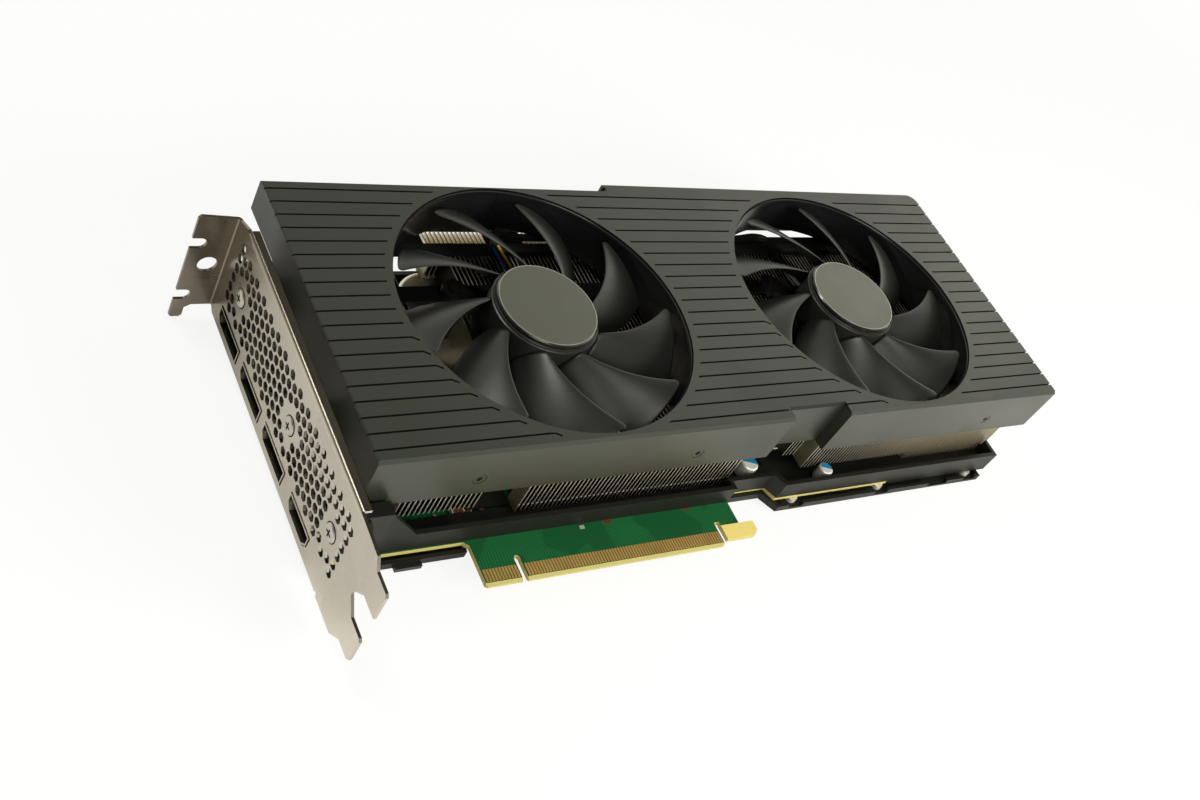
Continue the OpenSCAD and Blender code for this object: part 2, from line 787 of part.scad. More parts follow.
module fin_stack_left() {
  color([0.62, 0.58, 0.52])
  difference() {
    union() {
      fin_row(left_x[0], left_x[1], fin_pitch_l, fin_front, fin_far, cold_top + 1.8);
      box([left_x[0], fan_y - tongue_half, cold_top], [left_x[1], fan_y + tongue_half, base_top]);
    }
    pipe_tunnels(seat);
  }
}

module fin_stack_middle() {
  lift = base_top + 0.3;
  near = leg_in + bend_r;
  color([0.6, 0.55, 0.48])
  difference() {
    union() {
      fin_row(mid_x[0], mid_x[1], fin_pitch_m, fin_front, fin_far, cold_top);
      fin_row(mid_x[0], mid_x[1], fin_pitch_m, fin_front, fin_front + 5, 2.2);
      box([bend_x + 2, fan_y - base_half, cold_top], [mid_x[1], fan_y + base_half, base_top]);
      box([mid_x[0], fan_y - tongue_half, cold_top], [bend_x + 3, fan_y + tongue_half, base_top]);
      box([far_fin_x, seal_y, lift], [bend_x + 4, fin_far, lift + fin_t]);
    }
    box([mid_x[0] - 1, fan_y + tongue_half + 1, 0], [bend_x + 1.5, seal_y, fin_top + 1]);
    box([mid_x[0] - 1, seal_y - 1, 0], [far_fin_x, fin_far + 1, fin_top + 1]);
    box([mid_x[0] - 1, seal_y - 1, 0], [bend_x + 1.5, fin_far + 1, lift]);
    box([mid_x[0] - 1, fan_y - near - bend_r - pipe_w / 2 - 1, 0],
      [bend_x + 1.5, fan_y - tongue_half - 1, lift]);
    pipe_tunnels(seat);
  }
}

module fin_stack_right() {
  color([0.62, 0.58, 0.52])
  difference() {
    union() {
      fin_row(right_x[0], right_x[1], fin_pitch_r, fin_front, fin_far, cold_top - 0.4);
      fin_row(small_x[0], small_x[1], fin_pitch_r, notch_y + wall + play, fin_far, base_top - 0.4);
      box([bx(161), fan_y - base_half, cold_top], [right_x[1], fan_y + base_half, base_top]);
    }
    box([bx(power_at[0]) - power_w / 2 - 1.5, pcb_far - 12.5, 0],
      [bx(power_at[1]) + power_w / 2 + 1.5, fin_far + 1, power_h + 0.8]);
    pipe_tunnels(seat);
  }
}

module cold_plate() {
  color([0.78, 0.75, 0.7])
  difference() {
    box([bx(chip_at - 39), fan_y - 38, chip_top], [bx(chip_at + 39), fan_y + 38, cold_top]);
    for (p = spring_at)
      rod(bx(chip_at) + p[0], fan_y + p[1], 0, 10, spring_screw_r + 0.05);
  }
}

// Board
module board_plan() {
  difference() {
    polygon([[pcb_x0, pcb_front], [edge_x0 - 1.5, pcb_front], [edge_x0, pcb_front - 1.5], [edge_x0, 0.6],
      [edge_x0 + 0.6, 0], [edge_x1 - 0.6, 0], [edge_x1, 0.6], [edge_x1, 8.3], [hook_x0, 8.3], [hook_x0, 1.8],
      [hook_x1 - 2, 1.8], [hook_x1, 3.6], [hook_x1, hook_top], [neck_x, hook_top], [neck_x, back_y],
      [back_in_x, back_y], [back_out_x, pcb_front_r], [lip_x, pcb_front_r], [lip_x, pcb_front],
      [pcb_x1, pcb_front], [pcb_x1, pcb_far], [pcb_x0, pcb_far]]);
    translate([-key_w / 2, -1]) square([key_w, key_depth - key_w / 2 + 1]);
    translate([0, key_depth - key_w / 2]) circle(d = key_w);
    for (p = plate_screw_at)
      translate([bx(p[0]), p[1]]) circle(r = plate_screw_r + play);
    for (p = spring_at)
      translate([bx(chip_at) + p[0], fan_y + p[1]]) circle(r = spring_screw_r + play);
  }
}

module circuit_board() {
  color([0.02, 0.35, 0.18])
  difference() {
    translate([0, 0, -pcb_t]) linear_extrude(pcb_t) board_plan();
    along_x(edge_x0 - 1, edge_x1 - edge_x0 + 1.5)
      polygon([[-1, 1], [-1, -0.9], [1, 0.01], [1, 1]]);
    along_x(edge_x0 - 1, edge_x1 - edge_x0 + 1.5)
      polygon([[-1, -pcb_t - 1], [-1, -pcb_t + 0.9], [1, -pcb_t - 0.01], [1, -pcb_t - 1]]);
  }
}

module contact_row(x0, len) {
  n = floor((len - contact_w) / contact_pitch) + 1;
  start = x0 + (len - (n - 1) * contact_pitch) / 2;
  for (i = [0:n - 1], z = [0, -pcb_t - 0.06])
    translate([start + i * contact_pitch - contact_w / 2, 1.2, z]) cube([contact_w, contact_len, 0.06]);
}

module edge_contacts() {
  color("goldenrod") {
    contact_row(edge_x0, edge_short);
    contact_row(key_w / 2, edge_long);
  }
}

module graphics_chip() {
  s = chip_side / 2;
  color([0.1, 0.28, 0.18]) box([bx(chip_at) - s, fan_y - s, 0], [bx(chip_at) + s, fan_y + s, chip_t]);
}

module graphics_die() {
  color([0.3, 0.3, 0.33])
    box([bx(chip_at) - 14, fan_y - 11, chip_t], [bx(chip_at) + 14, fan_y + 11, chip_top]);
}

module memory_set(z0, z1, m) {
  for (s = [-1, 1], dy = memory_dy)
    box([bx(chip_at) + s * memory_dx - 6 + m, fan_y + dy - 7 + m, z0],
      [bx(chip_at) + s * memory_dx + 6 - m, fan_y + dy + 7 - m, z1]);
}

module memory_chips() {
  color([0.1, 0.1, 0.1]) memory_set(0, memory_t, 0);
}

module thermal_pads() {
  color("lightsteelblue") {
    memory_set(memory_t, chip_top, 0.5);
    for (i = [0:choke_n - 1])
      box([bx(164), 43.8 + i * 8 - 2.6, choke_h], [bx(169), 43.8 + i * 8 + 2.6, cold_top]);
  }
}

module power_chokes() {
  color([0.28, 0.28, 0.29])
  for (i = [0:choke_n - 1])
    box([bx(163.2), 43.8 + i * 8 - 3.3, 0], [bx(169.8), 43.8 + i * 8 + 3.3, choke_h]);
}

module power_stages() {
  color([0.12, 0.12, 0.13])
  for (i = [0:choke_n - 1])
    box([bx(171.5), 43.8 + i * 8 - 3, 0], [bx(176.5), 43.8 + i * 8 + 3, 0.9]);
}

module can_capacitors() {
  color("silver")
  for (c = can_at)
    translate([bx(c[0]), c[1], 0])
      rotate_extrude()
        polygon([[0, 0], [c[2], 0], [c[2], 1.2], [c[2] - 0.25, 1.5], [c[2], 1.8], [c[2], can_h - 0.4],
          [c[2] - 0.4, can_h], [0, can_h]]);
}

// Mid-frame: rails round the board's rim, a foot flange and the roof over the sockets
frame_x0 = bx(7.7);
frame_x1 = bx(267.8);
frame_front = 15;
frame_right = 13.7;
rail_t = 1.5;
far_rail_h = cold_top - 0.8;
cover_y = 36;

module rail_plan(t) {
  rect([frame_x0, frame_front], [neck_x, frame_front + t]);
  rect([neck_x - t, frame_front], [neck_x, back_y + t - 0.5]);
  rect([neck_x - t, back_y - 0.5], [back_in_x, back_y + t - 0.5]);
  polygon([[back_in_x - 0.3, back_y - 0.5], [back_out_x, frame_right], [back_out_x + t, frame_right],
    [back_out_x + t, frame_right + t], [back_in_x + t, back_y + t - 0.5],
    [back_in_x - 0.3, back_y + t - 0.5]]);
  rect([back_out_x, frame_right], [frame_x1, frame_right + t]);
  rect([frame_x1 - min(t, rail_t), frame_right], [frame_x1, fin_front - 0.6]);
}

module far_rail_plan(t) {
  rect([frame_x1 - t, frame_right], [frame_x1, pcb_far]);
  rect([frame_x0, pcb_far - t], [frame_x1, pcb_far]);
}

module mid_frame() {
  lug_y = [90.5, 46.4];
  color([0.1, 0.1, 0.1])
  difference() {
    union() {
      linear_extrude(rail_h) rail_plan(rail_t);
      linear_extrude(far_rail_h) far_rail_plan(rail_t);
      linear_extrude(flange_t) rail_plan(flange_w);
      linear_extrude(flange_t) rect([back_out_x + 1, frame_right + 1], [frame_x1, cover_y]);
      linear_extrude(flange_t) far_rail_plan(flange_w);
      along_y(frame_front, rail_t)
        polygon([[frame_x0, 0], [frame_x0, 21.2], [bx(14.6), 21.2], [bx(28.1), rail_h], [bx(28.1), 0]]);
      box([bx(bracket_t), 13.2, 9.7], [bx(16.5), 17.5, 21.2]);
      translate([bx(bracket_t), bracket_screws_y[2], bracket_screw_z])
        rotate([0, 90, 0]) cylinder(h = 9, r = 3.2);
      box([bx(2.5), 15, 7.2], [bx(21.5), pcb_far, 8.8]);
      box([bx(2.5), pcb_far - rail_t, 0], [bx(21.5), pcb_far, 8.8]);
      for (y = lug_y)
        box([bx(bracket_t), y - 4, 7.2], [bx(8.5), y + 4, 21.2]);
      box([lip_x + 0.5, frame_right, -pcb_t], [frame_x1, pcb_front - play, 0.5]);
      box([pcb_x1 + play, frame_right, -1.5], [frame_x1, frame_right + 6, 0.5]);
    }
    for (y = bracket_screws_y)
      translate([bx(0), y, bracket_screw_z]) rotate([0, 90, 0]) cylinder(h = 8, r = bracket_screw_r + 0.05);
    for (p = plate_screw_at)
      rod(bx(p[0]), p[1], -1, flange_t + 1, plate_screw_r + 0.05);
    for (c = can_at)
      rod(bx(c[0]), c[1], -1, can_h + 2, c[2] + 0.4);
    box([bx(power_at[0]) - power_w / 2 - 0.5, pcb_far - 13.5, -1],
      [bx(power_at[1]) + power_w / 2 + 0.5, pcb_far + 1, rail_h + 1]);
    box([bx(17.6), 17, -1], [bx(24), pcb_far - rail_t, 7.2]);
    box([bx(0), 18, -1], [bx(17.7), pcb_far - rail_t, 7.2]);
  }
}

// Backplate behind the board
module back_plan(i) {
  polygon([[bx(4) + i, 12.4 + i], [bx(46) - i, 12.4 + i], [bx(47) - i, 17 + i], [bx(158.2) + i, 17 + i],
    [bx(162) + i, 11.2 + i], [bx(264) - i, 11.2 + i], [bx(264) - i, pcb_far + 0.6 - i],
    [bx(4) + i, pcb_far + 0.6 - i]]);
}

module backplate() {
  floor_z = plate_z + plate_t;
  color([0.13, 0.13, 0.13])
  difference() {
    union() {
      translate([0, 0, plate_z]) linear_extrude(plate_t) back_plan(0);
      difference() {
        translate([0, 0, plate_z]) linear_extrude(-pcb_t - plate_z - 0.1) back_plan(0);
        translate([0, 0, floor_z - 0.1]) linear_extrude(5) back_plan(1.2);
      }
      for (p = plate_screw_at)
        rod(bx(p[0]), p[1], plate_z, -pcb_t, 3.2);
    }
    for (p = plate_screw_at) {
      rod(bx(p[0]), p[1], plate_z - 1, 0, plate_screw_r + play);
      rod(bx(p[0]), p[1], plate_z - 1, plate_z + 1.2, 2.3);
    }
    box([bx(chip_at - 31), fan_y - 38, plate_z - 1], [bx(chip_at + 31), fan_y + 38, floor_z + 1]);
    for (p = standoff_at)
      box([bx(p[0]) - 3.2, 10, floor_z], [bx(p[0]) + 3.2, 12.6, 0]);
    box([bx(236), 10, plate_z + 0.8], [bx(246), 12.6, 0]);
  }
}

module backplate_screws() {
  color("black")
  for (p = plate_screw_at)
    translate([bx(p[0]), p[1], 0])
      difference() {
        union() {
          rod(0, 0, plate_z + 0.1, plate_z + 1.2, 2.1);
          rod(0, 0, plate_z + 0.5, flange_t, plate_screw_r);
        }
        translate([0, 0, plate_z - 0.5]) cylinder(h = 1.2, r = 0.9, $fn = 6);
      }
}

// Plain spacers between the board and the backplate, near its front edge
module standoffs() {
  color("silver")
  for (p = standoff_at)
    translate([bx(p[0]), p[1], 0])
      difference() {
        rod(0, 0, plate_z + plate_t, -pcb_t, 2);
        rod(0, 0, plate_z, 0, 1);
      }
}

module spring_plate() {
  z0 = -pcb_t - spring_t;
  color("silver")
  difference() {
    translate([bx(chip_at), fan_y, z0]) {
      linear_extrude(spring_t)
        difference() {
          union() {
            square([36, 36], center = true);
            for (p = spring_at)
              translate(p) circle(r = 3.6);
            for (s = [-1, 1])
              rotate(s * atan2(33, 23.5)) square([81, 6], center = true);
          }
          circle(r = 9);
        }
    }
    for (p = spring_at)
      rod(bx(chip_at) + p[0], fan_y + p[1], z0 - 1, 1, spring_screw_r + play);
  }
}

module spring_screws() {
  z0 = -pcb_t - spring_t;
  color("silver")
  for (p = spring_at)
    translate([bx(chip_at) + p[0], fan_y + p[1], 0])
      difference() {
        union() {
          rod(0, 0, z0 - 1.2, z0, 2.4);
          rod(0, 0, z0 - 0.5, cold_top - 0.1, spring_screw_r);
        }
        translate([0, 0, z0 - 2]) cylinder(h = 1.4, r = 1, $fn = 6);
      }
}

// Bracket: flat plate with two tongues, inward flange and bent tab
flange_z = 34.8;
flange_y = [6.9, 98.4];
flange_reach = 3;
tab_z = [-1.4, 32.6];
bend_out = bend_in + bracket_t;

module bracket_plan() {
  top = tab_y - bend_in;
  fold = flange_z - bend_in - bracket_t;
  polygon([[top, tab_z[1]], [top, tab_z[0]], [top - 1.6, -2.6], [8.5, -2.6], [7.8, -1.8], [7.1, -3.1],
    [-3.6, -3], [-7.7, 0.9], [-13.2, 0.9], [-14.3, 2], [-14.3, 10.2], [-13.5, 11.1], [-7.7, 11.1],
    [-3.7, 15.4], [-3.7, 17], [-7.7, 21.2], [-14.3, 21.2], [-14.3, 30.3], [-13.5, 31.2], [-7.6, 31.2],
    [-5.1, flange_z - 0.6], [5, flange_z], [flange_y[0], flange_z], [flange_y[0], fold],
    [flange_y[1], fold], [flange_y[1], flange_z], [99, flange_z]]);
}

module hex_field() {
  row = hex_pitch * sqrt(3) / 2;
  rows = floor((98 - 7) / row);
  cols = floor((31.2 - 8.2) / hex_pitch);
  for (i = [0:rows], j = [0:cols]) {
    y = 7 + i * row;
    z = 8.4 + (i % 2) * hex_pitch / 2 + j * hex_pitch;
    clear = min([for (s = bracket_screws_y) norm([y - s, z - bracket_screw_z])]);
    if (clear > 5.4 && z < 29.9)
      translate([y, z]) circle(r = hex_r, $fn = 6);
  }
}

module dp_plan(w, h, cut) {
  polygon([[-w / 2, 0], [w / 2 - cut, 0], [w / 2, cut], [w / 2, h], [-w / 2, h]]);
}

module hdmi_plan(w, h, cut) {
  polygon([[-w / 2 + cut, 0], [w / 2 - cut, 0], [w / 2, cut], [w / 2, h], [-w / 2, h], [-w / 2, cut]]);
}

module io_bracket() {
  g = socket_gap;
  slots = [23.2, 2.88];
  color([0.75, 0.75, 0.76])
  difference() {
    union() {
      along_x(bx(0), bracket_t) bracket_plan();
      box([bx(bend_out), flange_y[0], flange_z - bracket_t], [bx(flange_reach), flange_y[1], flange_z]);
      along_y(flange_y[0], flange_y[1] - flange_y[0])
        intersection() {
          translate([bx(bend_out), flange_z - bend_out])
            difference() {
              circle(r = bend_out);
              circle(r = bend_in);
            }
          rect([bx(0), flange_z - bend_out], [bx(bend_out), flange_z]);
        }
      difference() {
        along_y(tab_y, bracket_t)
          polygon([[bx(-bend_in), tab_z[1]], [bx(-tab_len + 0.8), 33.4], [bx(-tab_len), 32.6],
            [bx(-tab_len), -5.6], [bx(-tab_len + 0.7), -6.3], [bx(-8.2), -6.3], [bx(-7.5), -5.6],
            [bx(-7.5), -2.6], [bx(-5.8), tab_z[0]], [bx(-bend_in), tab_z[0]]]);
        for (z = slots) {
          box([bx(-tab_len - 1), tab_y - 1, z - tab_slot_w / 2], [bx(-8.8), tab_y + 2, z + tab_slot_w / 2]);
          translate([bx(-8.8), tab_y - 1, z]) rotate([-90, 0, 0]) cylinder(h = 3, r = tab_slot_w / 2);
        }
        translate([bx(-4.9), tab_y - 1, 15]) rotate([-90, 0, 0]) cylinder(h = 3, r = tab_hole_r);
      }
      translate([bx(-bend_in), tab_y - bend_in, 0])
        rotate_extrude(angle = 90)
          translate([bend_in, tab_z[0]])
            square([bracket_t, tab_z[1] - tab_z[0]]);
    }
    along_x(bx(-1), 3) hex_field();
    for (y = dp_y)
      translate([0, y, -g]) along_x(bx(-1), 3) dp_plan(dp_w + 2 * g, dp_h + 2 * g, 1.8);
    translate([0, hdmi_y, -g]) along_x(bx(-1), 3) hdmi_plan(hdmi_w + 2 * g, hdmi_h + 2 * g, 2);
    for (y = bracket_screws_y)
      translate([bx(-1), y, bracket_screw_z]) rotate([0, 90, 0]) cylinder(h = 3, r = bracket_screw_r + play);
  }
}

module bracket_screws() {
  color("silver")
  for (y = bracket_screws_y)
    translate([bx(0), y, bracket_screw_z])
      difference() {
        union() {
          rotate([0, -90, 0]) cylinder(h = 0.7, r = 3.2);
          translate([-0.7, 0, 0]) rotate([0, -90, 0]) cylinder(h = 0.7, r1 = 3.2, r2 = 2.2);
          rotate([0, 90, 0]) cylinder(h = 7, r = bracket_screw_r);
        }
        translate([-2, 0, 0]) rotate([0, 90, 0]) cylinder(h = 1.6, r = 1.1, $fn = 6);
      }
}

module displayport_shells() {
  t = shell_t;
  color([0.7, 0.7, 0.7])
  for (y = dp_y)
    translate([0, y, 0])
      difference() {
        along_x(bx(-0.3), shell_len) dp_plan(dp_w, dp_h, 1.8);
        translate([0, 0, t]) along_x(bx(-1), shell_len + 0.3) dp_plan(dp_w - 2 * t, dp_h - 2 * t, 1.7);
      }
}

module hdmi_shell() {
  t = shell_t;
  color([0.7, 0.7, 0.7])
  translate([0, hdmi_y, 0])
    difference() {
      along_x(bx(-0.3), shell_len) hdmi_plan(hdmi_w, hdmi_h, 2);
      translate([0, 0, t]) along_x(bx(-1), shell_len + 0.3) hdmi_plan(hdmi_w - 2 * t, hdmi_h - 2 * t, 1.9);
    }
}

module socket_tongues() {
  t = shell_t;
  color([0.08, 0.08, 0.08]) {
    for (y = dp_y)
      translate([0, y, 0]) {
        translate([0, 0, t]) along_x(bx(9), 7.2) dp_plan(dp_w - 2 * t, dp_h - 2 * t, 1.7);
        box([bx(1.5), -6, 1.9], [bx(9.5), 6, 3.3]);
      }
    translate([0, hdmi_y, 0]) {
      translate([0, 0, t]) along_x(bx(9), 7.2) hdmi_plan(hdmi_w - 2 * t, hdmi_h - 2 * t, 1.9);
      box([bx(1.5), -5.2, 1.9], [bx(9.5), 5.2, 3.1]);
    }
  }
}

// Power sockets at the far edge, open towards +Y
function power_cells(d) = [for (i = [-1.5:1:1.5], z = [2.9, 7.3]) [bx(d) + i * 4.2, z]];

module power_sockets() {
  color([0.06, 0.06, 0.06])
  for (d = power_at)
    difference() {
      union() {
        box([bx(d) - power_w / 2, pcb_far - power_d + 1.6, 0], [bx(d) + power_w / 2, pcb_far + 1.6, power_h]);
        box([bx(d) - 2, pcb_far - 4, power_h - 0.1], [bx(d) + 2, pcb_far + 1.6, power_h + 0.6]);
      }
      for (c = power_cells(d))
        box([c[0] - 1.75, pcb_far - 7.6, c[1] - 1.85], [c[0] + 1.75, pcb_far + 3, c[1] + 1.85]);
    }
}

module power_pins() {
  color("gold")
  for (d = power_at, c = power_cells(d))
    box([c[0] - 0.55, pcb_far - 7.6, c[1] - 0.55], [c[0] + 0.55, pcb_far - 0.6, c[1] + 0.55]);
}

shroud();
shroud_clips();
shroud_screws();
impeller(0, turn_1);  // impeller_1
hub_cap(0);  // hub_cap_1
rotor_yoke(0);  // rotor_yoke_1
rotor_magnet(0);  // rotor_magnet_1
fan_shaft(0);  // fan_shaft_1
impeller(1, turn_2);  // impeller_2
hub_cap(1);  // hub_cap_2
rotor_yoke(1);  // rotor_yoke_2
rotor_magnet(1);  // rotor_magnet_2
fan_shaft(1);  // fan_shaft_2
fan_frame(0);  // fan_frame_1
motor_base(0);  // motor_base_1
shaft_bearing(0);  // shaft_bearing_1
stator(0);  // stator_1
stator_coils(0);  // stator_coils_1
motor_board(0);  // motor_board_1
fan_lead(lead_1);  // fan_lead_1
fan_frame(1);  // fan_frame_2
motor_base(1);  // motor_base_2
shaft_bearing(1);  // shaft_bearing_2
stator(1);  // stator_2
stator_coils(1);  // stator_coils_2
motor_board(1);  // motor_board_2
fan_lead(lead_2);  // fan_lead_2
fan_screws();
motor_screws();
air_seals();
fan_plugs();
fan_headers();
fin_stack_left();
fin_stack_middle();
fin_stack_right();
heat_pipes();
cold_plate();
mid_frame();
circuit_board();
edge_contacts();
graphics_chip();
graphics_die();
memory_chips();
thermal_pads();
power_chokes();
power_stages();
can_capacitors();
backplate();
backplate_screws();
standoffs();
spring_plate();
spring_screws();
io_bracket();
bracket_screws();
displayport_shells();
hdmi_shell();
socket_tongues();
power_sockets();
power_pins();
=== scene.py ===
# %% [markdown]
# # A graphics card with two open fans
# The card arrives as a packed set of solids, already in place and in metres. This lesson dresses
# them: it sets the camera, lights a white table, gives each finish its own node material, and adds
# the fine pieces that plain solids lack, such as moulded blades, thin fins, leads and socket springs.

# %% Load the card
import bpy, bmesh, math
from mathutils import Matrix, Quaternion, Vector


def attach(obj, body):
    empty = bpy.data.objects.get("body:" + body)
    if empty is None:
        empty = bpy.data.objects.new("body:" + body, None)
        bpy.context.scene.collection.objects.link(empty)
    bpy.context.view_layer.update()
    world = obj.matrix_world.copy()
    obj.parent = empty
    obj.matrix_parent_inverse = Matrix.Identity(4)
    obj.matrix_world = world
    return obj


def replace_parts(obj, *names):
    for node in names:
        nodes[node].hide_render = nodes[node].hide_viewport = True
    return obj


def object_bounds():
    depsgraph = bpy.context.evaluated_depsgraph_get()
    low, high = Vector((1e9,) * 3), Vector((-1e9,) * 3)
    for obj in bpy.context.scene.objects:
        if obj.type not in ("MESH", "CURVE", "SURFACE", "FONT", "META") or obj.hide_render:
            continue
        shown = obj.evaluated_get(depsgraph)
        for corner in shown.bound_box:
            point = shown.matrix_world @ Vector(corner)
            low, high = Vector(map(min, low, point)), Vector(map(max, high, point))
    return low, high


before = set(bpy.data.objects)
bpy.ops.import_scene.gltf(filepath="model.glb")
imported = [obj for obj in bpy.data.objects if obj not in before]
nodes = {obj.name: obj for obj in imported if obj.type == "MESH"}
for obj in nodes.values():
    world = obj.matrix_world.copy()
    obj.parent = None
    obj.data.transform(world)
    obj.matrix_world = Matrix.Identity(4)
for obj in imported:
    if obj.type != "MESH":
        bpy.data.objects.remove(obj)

MM = 0.001
TAU = 2 * math.pi
KEY_AT = 59.0  # the connector's key, in millimetres from the bracket's outer face
cad_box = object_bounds()


def bx(d):
    """Distance from the bracket's outer face, in millimetres, as an X in the card's frame."""
    return d - KEY_AT


# %% [markdown]
# ## Camera
# The picture's edges run to vanishing points, so a camera can be solved from known sizes: the
# contact rows, the bracket and the fan openings. The result is a place, a turn and a focal length in
# pixels of a 1200 by 800 image. A small shift keeps the lens axis where the picture has it.

# %% Camera
IMAGE_W, IMAGE_H = 1200, 800
FOCAL_PX = 1343.735
AXIS_PX = (611.374, 406.490)
EYE_MM = Vector((bx(-137.233), -145.678, 281.660))
TURN = Vector((2.385407, -0.356155, 0.750691))

camera_data = bpy.data.cameras.new("photo_camera")
camera_data.sensor_fit = "HORIZONTAL"
camera_data.sensor_width = 36.0
camera_data.lens = FOCAL_PX * camera_data.sensor_width / IMAGE_W
camera_data.shift_x = (IMAGE_W / 2 - AXIS_PX[0]) / IMAGE_W
camera_data.shift_y = (AXIS_PX[1] - IMAGE_H / 2) / IMAGE_W
camera_data.clip_start = 0.01
camera_data.clip_end = 50
camera = bpy.data.objects.new("photo_camera", camera_data)
bpy.context.scene.collection.objects.link(camera)
to_camera = Quaternion(TURN.normalized(), TURN.length).to_matrix()
facing = to_camera.transposed() @ Matrix.Diagonal((1, -1, -1))
camera.matrix_world = Matrix.Translation(EYE_MM * MM) @ facing.to_4x4()
bpy.context.scene.camera = camera
print("lens", round(camera_data.lens, 2), "mm")

# %% [markdown]
# ## Table and light
# A light tent is white all round at table height and dimmer overhead, where its frame and the room
# are, so upright walls come out paler than the top. The world is plain white to the camera. The table
# mixes white paper with a little glow for camera rays, so the background stays white and the card
# still leaves its soft shadow.

# %% View and node helpers
scene = bpy.context.scene
scene.view_settings.view_transform = "Standard"
print("view transform:", scene.view_settings.view_transform)


def feed(tree, socket, value):
    """Links another node's output to a socket, or sets a plain value on it."""
    if isinstance(value, bpy.types.NodeSocket):
        tree.links.new(value, socket)
    elif value is not None:
        socket.default_value = value


def place(tree, kind, **inputs):
    """Adds a node; keyword names are its inputs with spaces written as underscores."""
    made = tree.nodes.new(kind)
    for name, value in inputs.items():
        feed(tree, made.inputs[name.replace("_", " ")], value)
    return made


def math_node(tree, operation, a, b=0.5, c=None, clamp=False):
    """A Math node in a shader or geometry tree, returning its output."""
    made = tree.nodes.new("ShaderNodeMath")
    made.operation = operation
    made.use_clamp = clamp
    for socket, value in zip(made.inputs, (a, b, c)):
        feed(tree, socket, value)
    return made.outputs[0]


# %% Light tent
WALL_LEVEL, WALL_X, WALL_Y, WALL_FALL = 1.25, 0.6, 0.5, 2.4
WINDOW_AIM, WINDOW_TIGHT, WINDOW_GAIN = (0.765, 0.44, 0.47), 24.0, 1.15
CEILING, LAMP_SHARE = 0.05, 0.8
LIGHT_GREEN, LIGHT_BLUE = 0.99, 0.88

world = bpy.data.worlds.new("light_tent")
scene.world = world
world.use_nodes = True
tree = world.node_tree
tree.nodes.clear()
direction = tree.nodes.new("ShaderNodeTexCoord").outputs["Generated"]
toward = place(tree, "ShaderNodeSeparateXYZ", Vector=direction).outputs
lowness = math_node(tree, "SUBTRACT", 1.0, math_node(tree, "MAXIMUM", toward["Z"], 0.0))
sides = math_node(tree, "MULTIPLY_ADD", toward["Y"], WALL_Y, WALL_LEVEL)
sides = math_node(tree, "MULTIPLY_ADD", toward["X"], WALL_X, sides)
walls = math_node(tree, "MULTIPLY", math_node(tree, "POWER", lowness, WALL_FALL), sides)
aimed = math_node(tree, "MULTIPLY", toward["Z"], WINDOW_AIM[2])
aimed = math_node(tree, "MULTIPLY_ADD", toward["Y"], WINDOW_AIM[1], aimed)
aimed = math_node(tree, "MULTIPLY_ADD", toward["X"], WINDOW_AIM[0], aimed)
window = math_node(tree, "POWER", math_node(tree, "MAXIMUM", aimed, 0.0), WINDOW_TIGHT)
walls = math_node(tree, "MULTIPLY_ADD", window, WINDOW_GAIN, walls)
tent = math_node(tree, "MULTIPLY_ADD", walls, 1.0 - CEILING, CEILING)
rays = tree.nodes.new("ShaderNodeLightPath").outputs
share = math_node(tree, "MULTIPLY_ADD", rays["Is Glossy Ray"], 1.0 - LAMP_SHARE, LAMP_SHARE)
lit = math_node(tree, "MULTIPLY", tent, share)
seen = math_node(tree, "MAXIMUM", rays["Is Camera Ray"], rays["Is Transmission Ray"])
level = math_node(tree, "MULTIPLY_ADD", math_node(tree, "SUBTRACT", 1.0, lit), seen, lit)
tint = place(tree, "ShaderNodeCombineColor", Red=1.0,
             Green=math_node(tree, "MULTIPLY_ADD", seen, 1.0 - LIGHT_GREEN, LIGHT_GREEN),
             Blue=math_node(tree, "MULTIPLY_ADD", seen, 1.0 - LIGHT_BLUE, LIGHT_BLUE))
sky = place(tree, "ShaderNodeBackground", Color=tint.outputs[0], Strength=level)
end = tree.nodes.new("ShaderNodeOutputWorld")
tree.links.new(sky.outputs[0], end.inputs["Surface"])
print("world:", world.name, "with", len(tree.nodes), "nodes")

# %% Table
TABLE_REACH, TABLE_GAP = 4.0, 0.0001
SHADOW_REACH, GLOW_FROM = 0.35, 0.9
NEAR_GLOW, FAR_GLOW, GLOSSY_GLOW = 0.86, 1.0, 0.2

floor_z = cad_box[0][2] - TABLE_GAP
floor_mesh = bpy.data.meshes.new("table")
corners = [(x * TABLE_REACH, y * TABLE_REACH, floor_z) for x, y in ((-1, -1), (1, -1), (1, 1), (-1, 1))]
floor_mesh.from_pydata(corners, [], [(0, 1, 2, 3)])
table = bpy.data.objects.new("table", floor_mesh)
scene.collection.objects.link(table)
paper = bpy.data.materials.new("white_paper")
paper.use_nodes = True
tree = paper.node_tree
tree.nodes.clear()
plain = place(tree, "ShaderNodeBsdfDiffuse", Color=(0.93, 0.925, 0.9, 1))
glow = place(tree, "ShaderNodeEmission", Color=(1, 1, 0.995, 1), Strength=1.0)
rays = tree.nodes.new("ShaderNodeLightPath").outputs
seen = math_node(tree, "MAXIMUM", rays["Is Camera Ray"], rays["Is Transmission Ray"])
spot = tree.nodes.new("ShaderNodeTexCoord").outputs["Object"]
away = tree.nodes.new("ShaderNodeVectorMath")
away.operation = "LENGTH"
tree.links.new(spot, away.inputs[0])
far = place(tree, "ShaderNodeMapRange", Value=away.outputs["Value"], From_Min=SHADOW_REACH, From_Max=GLOW_FROM,
            To_Min=NEAR_GLOW, To_Max=FAR_GLOW)
mirrored = math_node(tree, "MULTIPLY", rays["Is Glossy Ray"], GLOSSY_GLOW)
